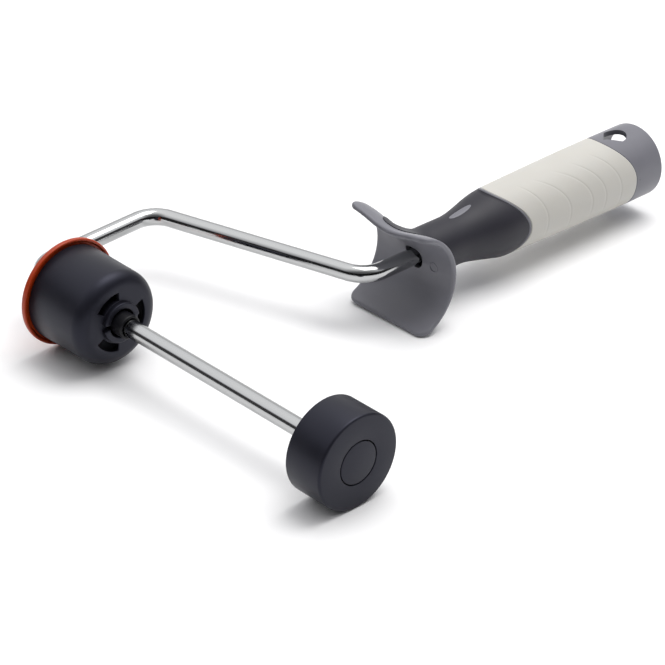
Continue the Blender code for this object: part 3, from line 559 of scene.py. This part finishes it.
cap = turned(
    "outer_cap_shell",
    [
        (SEAT_RADIUS, HOLDER_SPAN, 0.00025),
        (CAP_RADIUS, HOLDER_SPAN, CAP_FRONT_EDGE),
        (CAP_RADIUS, CAP_REAR, 0.0006),
        (CAP_RADIUS - CAP_WALL, CAP_REAR, 0.0004),
        (CAP_RADIUS - CAP_WALL, HOLDER_SPAN - CAP_WALL, 0.0008),
        (SEAT_RADIUS + CAP_WALL, HOLDER_SPAN - CAP_WALL, 0.0006),
        (SEAT_RADIUS + CAP_WALL, CAP_WEB - CAP_WALL, 0.0006),
        (CAP_HUB_RADIUS, CAP_WEB - CAP_WALL, 0.0006),
        (CAP_HUB_RADIUS, CAP_REAR + CAP_HUB_INSET, 0.0003),
        (HUB_BORE, CAP_REAR + CAP_HUB_INSET, 0.0003),
        (HUB_BORE, CAP_WEB, 0.0003),
        (SEAT_MOUTH, CAP_WEB, 0.0003),
        (SEAT_MOUTH, plug_seat, 0.0003),
        (SEAT_RADIUS, plug_seat, 0.0002),
    ],
    axle_space, charcoal, sides=192, steps=5,
)
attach(cap, "outer_holder")
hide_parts("outer_cap")

cap_rib_outline = [
    (CAP_HUB_RADIUS - CAP_RIB_BITE, CAP_REAR + CAP_RIB_INSET),
    (CAP_RADIUS - CAP_WALL / 2, CAP_REAR + CAP_RIB_INSET),
    (CAP_RADIUS - CAP_WALL / 2, HOLDER_SPAN - CAP_WALL / 2),
    (SEAT_RADIUS + CAP_WALL / 2, HOLDER_SPAN - CAP_WALL / 2),
    (SEAT_RADIUS + CAP_WALL / 2, CAP_WEB - CAP_WALL / 2),
    (CAP_HUB_RADIUS - CAP_RIB_BITE, CAP_WEB - CAP_WALL / 2),
]
for number in range(CAP_RIB_COUNT):
    turn = 2 * math.pi * number / CAP_RIB_COUNT
    rib = plate(f"cap_rib_{number + 1}", cap_rib_outline, RIB_THICKNESS, turn, axle_space, charcoal)
    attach(rib, "outer_holder")

plug = turned(
    "cap_plug_disc",
    [
        (0, HOLDER_SPAN, 0),
        (PLUG_RADIUS, HOLDER_SPAN, 0.00035),
        (PLUG_RADIUS, HOLDER_SPAN - PLUG_THICKNESS, 0.0002),
        (0, HOLDER_SPAN - PLUG_THICKNESS, 0),
    ],
    axle_space, charcoal, sides=144,
)
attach(plug, "outer_holder")
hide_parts("cap_plug")

# -----------------------------------------------------------------------------------------------------------
# The handle's core. One grey moulding: a thumb guard bent round like a piece of pipe, a narrow ring, an oval
# inlay, and the bare end with its hanging hole. Places run along the handle from the corner of the rod's last
# bend, and angles run from straight up towards the outer cap's side.
# -----------------------------------------------------------------------------------------------------------
GUARD_HALF_WIDTH = 0.024
GUARD_INNER = 0.0230
GUARD_THICKNESS = 0.0024
GUARD_CENTRE = 0.0064
GUARD_DROP = 0.0011
GUARD_TIP = 0.0122
GUARD_SADDLE = 0.004
GUARD_CORNER = 0.0055
MOUTH = 0.0049
MOUTH_POWER = 0.6
MOUTH_CUT = (0.020, 0.040)
TIP_SWEEP = 0.0018
BORDER_MIDDLE = 0.0797
BORDER_WAVE = 0.0061
RING_WIDTH = 0.0014
EDGE = 0.0003
END_BORDER = 0.1565
END_NOTCH = 0.009
END_NOTCH_POWER = 2.5
HANDLE_END = 0.1745
GRIP_FRONT_RADIUS = 0.0162
GRIP_REAR_RADIUS = 0.0175
CORE_RADIUS = 0.0142
MOUTH_RADIUS = 0.0128
SHOULDER = 0.1470
HANDLE_SIDES = 144

# Grey polypropylene, injection moulded: mid grey with a cool cast, satin, with a fine even grain that is
# drawn at 0.6 mm, coarser than life, so that it shows.
grey, shader = moulded(
    "moulded_grey_polypropylene", ("6f6f76", "77777e"), clouds=0.010, grain=0.0006, rough=(0.34, 0.46),
    relief=0.15,
)
shader.inputs["IOR"].default_value = 1.49
shader.inputs["Specular IOR Level"].default_value = 0.35


def guard_point(across, turn, radius):
    """A point of the guard's pipe: across its width, turned from straight back, at a radius from its axis."""
    sink = GUARD_SADDLE * math.cos(math.pi * across / (2 * GUARD_HALF_WIDTH)) ** 2 * max(0.0, math.sin(turn))
    reach = radius - sink
    return (across, GUARD_DROP - reach * math.sin(turn), GUARD_CENTRE + reach * math.cos(turn))


outer = GUARD_INNER + GUARD_THICKNESS
rim = GUARD_THICKNESS / 2
tip_turn = math.acos((GUARD_TIP - GUARD_CENTRE) / outer)
half_bend = tip_turn * (GUARD_INNER + rim)


def guard_hoop(along):
    """A closed round of the guard's wall at a distance along its bend, with its edges full round."""
    beyond = max(0.0, abs(along) - (half_bend - GUARD_CORNER))
    half = GUARD_HALF_WIDTH - GUARD_CORNER + math.sqrt(max(0.0, GUARD_CORNER**2 - beyond**2))
    over = max(0.0, abs(along) - (half_bend - rim))
    thick = rim * math.sqrt(max(0.0, 1 - (over / rim) ** 2))
    flat = half - rim
    loop = [(flat * (2 * n / GUARD_COLUMNS - 1), thick) for n in range(GUARD_COLUMNS)]
    loop += [(flat + rim * math.cos(t), thick * math.sin(t)) for t in RIM_TURNS]
    loop += [(-x, -off) for x, off in loop]
    middle = GUARD_INNER + rim
    row = []
    for x, off in loop:
        sweep = TIP_SWEEP * (x / GUARD_HALF_WIDTH) ** 2 * max(0.0, along / half_bend) ** 2
        row.append(guard_point(x, (along + sweep) / middle, middle + off))
    return row


GUARD_COLUMNS = 40
GUARD_STATIONS = 24
CORNER_STATIONS = 14
LAST_STATION_SHORT = 0.00002
RIM_TURNS = [math.pi / 2 - math.pi * n / 8 for n in range(8)]
stations = [(half_bend - GUARD_CORNER) * (n / GUARD_STATIONS - 1) for n in range(2 * GUARD_STATIONS + 1)]
rounds = [math.sin(math.pi / 2 * n / CORNER_STATIONS) for n in range(1, CORNER_STATIONS + 1)]
ends = [half_bend - GUARD_CORNER * (1 - reached) for reached in rounds]
ends[-1] = half_bend - LAST_STATION_SHORT
stations = [-end for end in reversed(ends)] + stations + ends
guard = skin("thumb_guard", [guard_hoop(along) for along in stations], handle_space, grey, ends="capped")

# The rod enters through a mouth like a rounded square.
mouth_rows = []
for place in MOUTH_CUT:
    row = []
    for n in range(64):
        t = math.pi * n / 32
        x, y = (math.copysign(abs(v) ** MOUTH_POWER, v) for v in (math.cos(t), math.sin(t)))
        row.append((MOUTH * x, MOUTH * y, place))
    mouth_rows.append(row)
mouth = skin("rod_mouth_cutter", mouth_rows, handle_space, grey, ends="capped")
add_modifier(guard, "BOOLEAN", operation="DIFFERENCE", object=mouth, solver="EXACT")
apply_modifiers(guard)
bpy.data.objects.remove(mouth)
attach(guard, "frame")
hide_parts("handle_core")

# Where the plastic entered the tool, a gate leaves a low round dot on the ring and one on the bare end.
GATE_RADIUS = 0.00045
GATE_SUNK = 0.0001
GATE_HEIGHT = 0.0003
END_GATE_PLACE = 0.1588
for name, turn, place, out in (
    ("ring_gate", math.radians(91), BORDER_MIDDLE + BORDER_WAVE + RING_WIDTH / 2, GRIP_FRONT_RADIUS),
    ("end_gate", math.radians(87), END_GATE_PLACE, GRIP_REAR_RADIUS),
):
    gate_rows = []
    for step in range(5):
        rise = math.pi / 2 * step / 4.2
        row = []
        for side in range(16):
            t = 2 * math.pi * side / 16
            radius = out - GATE_SUNK + GATE_HEIGHT * math.sin(rise)
            spread = GATE_RADIUS * math.cos(rise)
            around = turn + spread * math.cos(t) / out
            along = place + spread * math.sin(t)
            row.append((radius * math.sin(around), -radius * math.cos(around), along))
        gate_rows.append(row)
    gate = skin(name, gate_rows, handle_space, grey, ends="capped")
    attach(gate, "frame")

# An ejector pin's ring is left on the guard's inner face, beside the rod.
PIN_ACROSS = 0.0118
PIN_TURN = 0.02
PIN_RADIUS = 0.0022
PIN_RING_WIDTH = 0.00035
PIN_RING_HEIGHT = 0.0003
pin_rows = []
for n in range(48):
    t = 2 * math.pi * n / 48
    row = []
    for m in range(8):
        u = 2 * math.pi * m / 8
        spread = PIN_RADIUS + PIN_RING_WIDTH * math.cos(u)
        across = PIN_ACROSS + spread * math.cos(t)
        turn = PIN_TURN + spread * math.sin(t) / GUARD_INNER
        row.append(guard_point(across, turn, GUARD_INNER + PIN_RING_HEIGHT * math.sin(u)))
    pin_rows.append(row)
pin_mark = skin("ejector_pin_mark", pin_rows, handle_space, grey, ends="joined")
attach(pin_mark, "frame")


def border(turn):
    """The wavy border between neck and grip."""
    return BORDER_MIDDLE - BORDER_WAVE * math.cos(2 * turn)


def end_border(turn):
    """The border between grip and bare end, which comes forward on top round the hanging hole."""
    return END_BORDER - END_NOTCH * max(0.0, math.cos(turn)) ** END_NOTCH_POWER


def grip_radius(place):
    """The grip's radius, which grows a little towards the rear."""
    share = min(1.0, max(0.0, (place - BORDER_MIDDLE) / (END_BORDER - BORDER_MIDDLE)))
    return GRIP_FRONT_RADIUS + (GRIP_REAR_RADIUS - GRIP_FRONT_RADIUS) * math.sin(share * math.pi / 2)


def handle_row(ring, sides=HANDLE_SIDES):
    """A round row of points; ring gives (radius, place) at each angle from straight up."""
    row = []
    for side in range(sides):
        turn = 2 * math.pi * side / sides
        radius, place = ring(turn)
        row.append((radius * math.sin(turn), -radius * math.cos(turn), place))
    return row


def at_border(radius, offset):
    """A ring of one radius that keeps a distance behind the wavy border."""
    return lambda turn: (radius, border(turn) + offset)


ring_rows = [
    handle_row(at_border(CORE_RADIUS, 0)),
    handle_row(at_border(GRIP_FRONT_RADIUS - EDGE, 0)),
    handle_row(at_border(GRIP_FRONT_RADIUS, EDGE)),
    handle_row(at_border(GRIP_FRONT_RADIUS, RING_WIDTH - EDGE)),
    handle_row(at_border(GRIP_FRONT_RADIUS - EDGE, RING_WIDTH)),
    handle_row(at_border(CORE_RADIUS, RING_WIDTH)),
]
border_ring = skin("border_ring", ring_rows, handle_space, grey, ends="joined", crease=50)
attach(border_ring, "frame")

END_EDGE = 0.0012
BARE_BORE = 0.0152
BARE_BORE_START = 0.15765
MOUTH_EDGE = 0.0004
end_rows = [
    handle_row(lambda turn: (BARE_BORE, BARE_BORE_START)),
    handle_row(lambda turn: (MOUTH_RADIUS, BARE_BORE_START)),
    handle_row(lambda turn: (MOUTH_RADIUS, SHOULDER)),
    handle_row(lambda turn: (CORE_RADIUS, SHOULDER)),
    handle_row(lambda turn: (CORE_RADIUS, end_border(turn))),
    handle_row(lambda turn: (grip_radius(end_border(turn)) - EDGE, end_border(turn))),
    handle_row(lambda turn: (grip_radius(end_border(turn)), end_border(turn) + EDGE)),
]
for step in range(7):
    t = math.pi / 2 * step / 6
    radius = GRIP_REAR_RADIUS - END_EDGE * (1 - math.cos(t))
    place = HANDLE_END - END_EDGE * (1 - math.sin(t))
    end_rows.append(handle_row(lambda turn, radius=radius, place=place: (radius, place)))
end_rows.append(handle_row(lambda turn: (BARE_BORE + MOUTH_EDGE, HANDLE_END)))
end_rows.append(handle_row(lambda turn: (BARE_BORE, HANDLE_END - MOUTH_EDGE)))
bare_end = skin("bare_end", end_rows, handle_space, grey, ends="joined")

# The hanging hole is drop-shaped, with a ramp that runs down into it from its pointed front.
HANG_HOLE_PLACE = 0.1578
HANG_HOLE_LENGTH = 0.0135
HANG_HOLE_WIDTH = 0.0115
HOLE_TAPER = 0.8
RAMP_START = 0.1505
RAMP_END = 0.1575
RAMP_TOP = 0.0172
RAMP_FOOT = 0.0120
PUNCH_TOP = 0.022
punch_rows = [[], []]
for step in range(96):
    t = 2 * math.pi * step / 96
    along = math.sin(t)
    across = HANG_HOLE_WIDTH / 2 * (1 + HOLE_TAPER * min(0.0, along)) * math.cos(t)
    place = HANG_HOLE_PLACE + HANG_HOLE_LENGTH / 2 * along
    down = min(1.0, max(0.0, (place - RAMP_START) / (RAMP_END - RAMP_START)))
    punch_rows[0].append((across, -(RAMP_TOP + (RAMP_FOOT - RAMP_TOP) * down), place))
    punch_rows[1].append((across, -PUNCH_TOP, place))
punch = skin("hanging_hole_punch", punch_rows, handle_space, grey, ends="capped")
add_modifier(bare_end, "BOOLEAN", operation="DIFFERENCE", object=punch, solver="EXACT")
add_modifier(
    bare_end, "BEVEL", width=0.0004, segments=3, limit_method="ANGLE", angle_limit=math.radians(50),
)
apply_modifiers(bare_end)
bpy.data.objects.remove(punch)
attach(bare_end, "frame")

# -----------------------------------------------------------------------------------------------------------
# The neck. A soft dark overmould on the spine. It flares up the back of the guard, narrows to a waist for the
# thumb and finger, and swells again to meet the ring. The core's oval inlay shows through it on top.
# -----------------------------------------------------------------------------------------------------------
WAIST_RADIUS = 0.0113
WAIST_START = 0.0350
WAIST_END = 0.0500
NECK_END_RADIUS = 0.0160
NECK_BORE = 0.0083
NECK_BORE_START = 0.0335
FLARE_HALF_WIDTH = 0.0132
FLARE_BELOW = math.radians(-38)
FLARE_SQUARENESS = 4
FLARE_SKIN = 0.00035
FLARE_SUNK = 0.0012
FLARE_LEAD = 0.97
FLARE_ROWS = 32
NECK_ROWS = 40
RIM_SHOWING = 0.0060

# Soft thermoplastic rubber, moulded over the core: charcoal, matt, with a faint bloom where light grazes it
# and a 0.7 mm grain, coarser than life.
dark_rubber, shader = moulded(
    "overmoulded_dark_rubber", ("201f28", "25242d"), clouds=0.010, grain=0.0007, rough=(0.46, 0.58),
    relief=0.2,
)
shader.inputs["IOR"].default_value = 1.5
shader.inputs["Specular IOR Level"].default_value = 0.36
shader.inputs["Sheen Weight"].default_value = 0.04
shader.inputs["Sheen Roughness"].default_value = 0.5


def neck_radius(place):
    """The neck's radius: even at the waist, then an S-shaped swell to the ring."""
    if place < WAIST_END:
        return WAIST_RADIUS
    share = min(1.0, (place - WAIST_END) / (BORDER_MIDDLE - WAIST_END))
    return WAIST_RADIUS + (NECK_END_RADIUS - WAIST_RADIUS) * (3 * share**2 - 2 * share**3)


flare_above = tip_turn - RIM_SHOWING / outer


def on_guard(across, turn, lift):
    """A point on the guard's back, lifted off it."""
    return Vector(guard_point(across, turn, outer + lift))


def flare_edge(angle, scale, lift):
    """A point of the overmould's edge on the guard's back, or inside that edge when scale is under 1."""
    power = 2 / FLARE_SQUARENESS
    across = FLARE_HALF_WIDTH * math.copysign(abs(math.sin(angle)) ** power, math.sin(angle))
    reach = flare_above if math.cos(angle) > 0 else FLARE_BELOW
    return on_guard(across * scale, reach * abs(math.cos(angle)) ** power * scale, lift)


def lifted(point, least):
    """The point itself, or the nearest place that clears the guard's back by the least skin."""
    x, y, z = point
    turn = math.atan2(GUARD_DROP - y, z - GUARD_CENTRE)
    away = math.hypot(GUARD_DROP - y, z - GUARD_CENTRE)
    skin_at = on_guard(x, turn, least)
    nearest = math.hypot(GUARD_DROP - skin_at.y, skin_at.z - GUARD_CENTRE)
    if abs(turn) > math.radians(80) or away >= nearest:
        return point
    return skin_at


def flare_row(share):
    """A row of the flare, from the waist (share 0) to the overmould's edge on the guard (share 1)."""
    row = []
    for side in range(HANDLE_SIDES):
        angle = 2 * math.pi * side / HANDLE_SIDES
        start = Vector((WAIST_RADIUS * math.sin(angle), -WAIST_RADIUS * math.cos(angle), WAIST_START))
        end = flare_edge(angle, 1.0, FLARE_SKIN)
        inner = flare_edge(angle, FLARE_LEAD, FLARE_SKIN)
        length = (end - start).length
        leave = Vector((0, 0, -1)) * length
        arrive = (end - inner).normalized() * length
        point = start * (2 * share**3 - 3 * share**2 + 1) + leave * (share**3 - 2 * share**2 + share)
        point += end * (3 * share**2 - 2 * share**3) + arrive * (share**3 - share**2)
        row.append(lifted(point, FLARE_SKIN))
    return row


def neck_ring(share):
    """A ring of the neck, from the waist's start (share 0) to the wavy border (share 1)."""
    def ring(turn):
        place = WAIST_START + (border(turn) - WAIST_START) * share
        return neck_radius(place), place
    return ring


turns = [2 * math.pi * side / HANDLE_SIDES for side in range(HANDLE_SIDES)]
under = [(scale, -FLARE_SUNK) for scale in (0.4, 0.6, 0.8, 0.9, 0.985)] + [(1.0, -0.0008), (1.0, 0.0002)]
neck_rows = [handle_row(lambda turn: (NECK_BORE, NECK_BORE_START))]
neck_rows += [[flare_edge(angle, scale, lift) for angle in turns] for scale, lift in under]
neck_rows += [flare_row(1 - step / FLARE_ROWS) for step in range(FLARE_ROWS)]
neck_rows += [handle_row(neck_ring(step / NECK_ROWS)) for step in range(NECK_ROWS)]
neck_rows.append(handle_row(lambda turn: (NECK_END_RADIUS, border(turn) - EDGE)))
neck_rows.append(handle_row(lambda turn: (NECK_END_RADIUS - EDGE, border(turn))))
neck_rows.append(handle_row(lambda turn: (NECK_BORE, border(turn))))
neck = skin("soft_neck", neck_rows, handle_space, dark_rubber, ends="joined", crease=50)
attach(neck, "frame")
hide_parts("neck_overmould")

INLAY_PLACE = 0.0570
INLAY_LENGTH = 0.0138
INLAY_WIDTH = 0.0034
INLAY_PROUD = 0.00025
INLAY_SUNK = 0.001
inlay_rows = []
for share in (1.0, 0.97, 0.85, 0.6, 0.3, 0.0):
    lift = INLAY_PROUD * (1 - share**4) - (INLAY_SUNK if share == 1.0 else 0)
    row = []
    for step in range(48):
        t = 2 * math.pi * step / 48
        place = INLAY_PLACE + INLAY_LENGTH / 2 * share * math.sin(t)
        aside = INLAY_WIDTH / 2 * share * math.cos(t)
        radius = neck_radius(place) + lift
        row.append((radius * math.sin(aside / radius), -radius * math.cos(aside / radius), place))
    inlay_rows.append(row)
inlay = skin("oval_inlay", inlay_rows, handle_space, grey, crease=60)
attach(inlay, "frame")

# -----------------------------------------------------------------------------------------------------------
# The grip. A soft ivory overmould between the ring and the bare end. Five shallow grooves sweep back down
# each side from the top of the handle.
# -----------------------------------------------------------------------------------------------------------
GROOVE_DEPTH = 0.00022
GROOVE_WIDTH = 0.0007
GROOVE_START_TURN = 0.25
GROOVE_FADE_IN = 0.3
GROOVE_END_TURN = 2.2
GROOVE_FADE_OUT = 0.5
GRIP_ROWS = 200
GRIP_ROW_INSET = 0.004

# Soft thermoplastic rubber, moulded over the core: a warm ivory with a faint mottle, matt and slightly waxy,
# with a 0.8 mm grain, coarser than life.
ivory, shader = moulded(
    "overmoulded_ivory_rubber", ("bebcb6", "c4c2bc"), clouds=0.014, grain=0.0008, rough=(0.42, 0.54),
    relief=0.15, detail=(4.0, 3.0),
)
shader.inputs["IOR"].default_value = 1.5
shader.inputs["Specular IOR Level"].default_value = 0.3
shader.inputs["Subsurface Weight"].default_value = 0.15
shader.inputs["Subsurface Scale"].default_value = 0.0012
shader.inputs["Subsurface Radius"].default_value = (1.0, 0.8, 0.6)

# Each groove: where it starts on top, how far back it sweeps at the side, in metres.
GROOVES = ((0.0855, 0.0120), (0.0923, 0.0200), (0.1040, 0.0225), (0.1170, 0.0185), (0.1310, 0.0150))


def groove_depth(turn, place):
    """How deep the grooves are at a place: each fades in away from the top and out again underneath."""
    fold = math.pi - abs(math.pi - turn)
    fade = min(1.0, max(0.0, (fold - GROOVE_START_TURN) / GROOVE_FADE_IN))
    fade *= min(1.0, max(0.0, (GROOVE_END_TURN - fold) / GROOVE_FADE_OUT))
    depth = 0.0
    for start, sweep in GROOVES:
        away = place - start - sweep * math.sin(min(fold, math.pi / 2))
        depth += math.exp(-((away / (GROOVE_WIDTH / 2)) ** 2))
    return GROOVE_DEPTH * fade * min(1.0, depth)


def grip_ring(share):
    """A ring of the grip, from the border ring (share 0) to the bare end (share 1), with its grooves."""
    def ring(turn):
        front = border(turn) + RING_WIDTH
        rear = end_border(turn)
        place = front + (rear - front) * share
        return grip_radius(place) - groove_depth(turn, place), place
    return ring


def grip_edge(where):
    """A ring a little under the surface, at the grip's front or rear."""
    def ring(turn):
        place = where(turn)
        return grip_radius(place) - EDGE, place
    return ring


def grip_front(turn):
    """Where the grip starts, behind the border ring."""
    return border(turn) + RING_WIDTH


grip_rows = [handle_row(lambda turn: (CORE_RADIUS, grip_front(turn))), handle_row(grip_edge(grip_front))]
for step in range(GRIP_ROWS + 1):
    share = GRIP_ROW_INSET + (1 - 2 * GRIP_ROW_INSET) * step / GRIP_ROWS
    grip_rows.append(handle_row(grip_ring(share)))
grip_rows.append(handle_row(grip_edge(end_border)))
grip_rows.append(handle_row(lambda turn: (CORE_RADIUS, end_border(turn))))
grip = skin("ivory_grip", grip_rows, handle_space, ivory, ends="joined", crease=60)
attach(grip, "frame")
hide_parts("grip_sleeve")

# -----------------------------------------------------------------------------------------------------------
# The pole socket. A black acetal insert with a coarse thread that takes an extension pole. It is pressed into
# the end of the handle until its collar meets the shoulder inside.
# -----------------------------------------------------------------------------------------------------------
INSERT_RADIUS = 0.0115
INSERT_LENGTH = 0.047
COLLAR_RADIUS = 0.0125
COLLAR_FOOT = SHOULDER + 0.0003
COLLAR_TOP = SHOULDER + 0.0023
COLLAR_BORE = 0.0103
THREAD_PITCH = 0.0045
THREAD_COUNT = 9
THREAD_RADIUS = 0.0096
THREAD_SPREAD = 0.0007
THREAD_HEIGHT = 0.0009
THREAD_LEAD = 0.002
socket_front = SHOULDER - INSERT_LENGTH
profile = [
    (COLLAR_RADIUS, COLLAR_TOP, 0.0004), (COLLAR_RADIUS, COLLAR_FOOT, 0.0002),
    (INSERT_RADIUS, COLLAR_FOOT, 0), (INSERT_RADIUS, socket_front, 0.0002),
    (THREAD_RADIUS, socket_front, 0.0002),
]
for number in range(THREAD_COUNT):
    start = socket_front + THREAD_LEAD + THREAD_PITCH * number
    bore = THREAD_RADIUS + THREAD_SPREAD * number / THREAD_COUNT
    profile += [
        (bore, start, 0.0003), (bore - THREAD_HEIGHT, start + 0.0012, 0.0003),
        (bore - THREAD_HEIGHT, start + 0.0024, 0.0003), (bore, start + 0.0036, 0.0003),
    ]
profile.append((COLLAR_BORE, COLLAR_TOP, 0.0003))
socket = turned("pole_socket_thread", profile, handle_space, acetal, sides=96, steps=3)
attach(socket, "frame")
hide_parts("pole_socket")

# -----------------------------------------------------------------------------------------------------------
# The studio. A matt white floor, one soft light overhead, and a bright dome with a dark band round its foot
# and a dark side ahead, which the chrome mirrors. A dim wall behind rims the tops of the round pieces.
# -----------------------------------------------------------------------------------------------------------
floor_mesh = bpy.data.meshes.new("studio_floor")
FLOOR_HALF = 3.0
floor_mesh.from_pydata(
    [(x * FLOOR_HALF, y * FLOOR_HALF, 0) for x, y in ((-1, -1), (1, -1), (1, 1), (-1, 1))],
    [], [(0, 1, 2, 3)],
)
floor = bpy.data.objects.new("studio_floor", floor_mesh)
bpy.context.scene.collection.objects.link(floor)
white = bpy.data.materials.new("matt_white_paint")
white.use_nodes = True
tree = white.node_tree
shader = tree.nodes["Principled BSDF"]
shader.inputs["Base Color"].default_value = (0.94, 0.94, 0.945, 1.0)
shader.inputs["Roughness"].default_value = 0.8
shader.inputs["Specular IOR Level"].default_value = 0.1
floor_mesh.materials.append(white)

world = bpy.data.worlds.new("studio_surround")
bpy.context.scene.world = world
world.use_nodes = True
tree = world.node_tree
background = tree.nodes["Background"]
direction = add(tree, "ShaderNodeTexCoord").outputs["Generated"]
height = add(tree, "ShaderNodeSeparateXYZ", {"Vector": direction})
bands = add(tree, "ShaderNodeValToRGB", {"Fac": height.outputs["Z"]})
stops = bands.color_ramp.elements
stops[0].position, stops[0].color = 0.0, (0.35, 0.35, 0.36, 1)
stops[1].position, stops[1].color = 1.0, (1.0, 1.0, 1.0, 1)
for position, level in ((0.02, 0.05), (0.40, 0.04), (0.52, 0.8)):
    stop = stops.new(position)
    stop.color = (level, level, level * 1.03, 1)
ahead = add(tree, "ShaderNodeVectorMath", {0: direction, 1: (0.73, -0.69, 0.0)}, operation="DOT_PRODUCT")
shade = add(
    tree, "ShaderNodeMapRange",
    {"Value": ahead.outputs["Value"], "From Min": 0.1, "From Max": 0.7, "To Min": 1.0, "To Max": 0.15},
)
unlit = add(
    tree, "ShaderNodeMix",
    {0: 1.0, 6: bands.outputs["Color"], 7: shade.outputs[0]}, data_type="RGBA", blend_type="MULTIPLY",
)
behind = add(tree, "ShaderNodeVectorMath", {0: direction, 1: (-0.73, 0.69, 0.0)}, operation="DOT_PRODUCT")
wall = add(
    tree, "ShaderNodeMapRange",
    {"Value": behind.outputs["Value"], "From Min": 0.6, "From Max": 0.95, "To Min": 0.0, "To Max": 0.6},
)
surround = add(
    tree, "ShaderNodeMix",
    {0: 1.0, 6: unlit.outputs[2], 7: wall.outputs[0]}, data_type="RGBA", blend_type="LIGHTEN",
)
tree.links.new(surround.outputs["Result"], background.inputs["Color"])
background.inputs["Strength"].default_value = 1.38


def area_light(name, place, aim, size, power, colour):
    """Adds a rectangular light at a place, aimed at a point."""
    light = bpy.data.lights.new(name, "AREA")
    light.shape = "RECTANGLE"
    light.size, light.size_y = size
    light.energy = power
    light.color = colour
    lamp = bpy.data.objects.new(name, light)
    lamp.location = place
    lamp.rotation_euler = (Vector(aim) - Vector(place)).to_track_quat("-Z", "Y").to_euler()
    bpy.context.scene.collection.objects.link(lamp)


area_light("overhead_softbox", (0.10, 0.28, 1.12), (0, 0, 0), (0.8, 0.8), 8.5, (1.0, 0.99, 0.98))

# The camera stands in front and to the outer cap's side, and looks down on the frame with a long lens.
CAMERA_TURN = math.radians(46.58)
CAMERA_RISE = math.radians(29.95)
CAMERA_ROLL = math.radians(0.14)
CAMERA_DISTANCE = 1.1589
AIM_ACROSS = 0.09903
AIM_BACK = 0.0633
AIM_HEIGHT = 0.020
aim = Vector((flange_back.x + AIM_ACROSS, flange_back.y + AIM_BACK, AIM_HEIGHT))
level_out = Vector((math.sin(CAMERA_TURN), -math.cos(CAMERA_TURN), 0)) * math.cos(CAMERA_RISE)
outward = level_out + Vector((0, 0, math.sin(CAMERA_RISE)))
lens = bpy.data.cameras.new("long_lens")
lens.lens = 149.44
lens.sensor_width = 36
camera = bpy.data.objects.new("studio_camera", lens)
look = (-outward).to_track_quat("-Z", "Y").to_matrix().to_4x4()
stand = Matrix.Translation(aim + outward * CAMERA_DISTANCE)
camera.matrix_world = stand @ look @ Matrix.Rotation(CAMERA_ROLL, 4, "Z")
bpy.context.scene.collection.objects.link(camera)
bpy.context.scene.camera = camera
bpy.context.scene.view_settings.view_transform = "Standard"
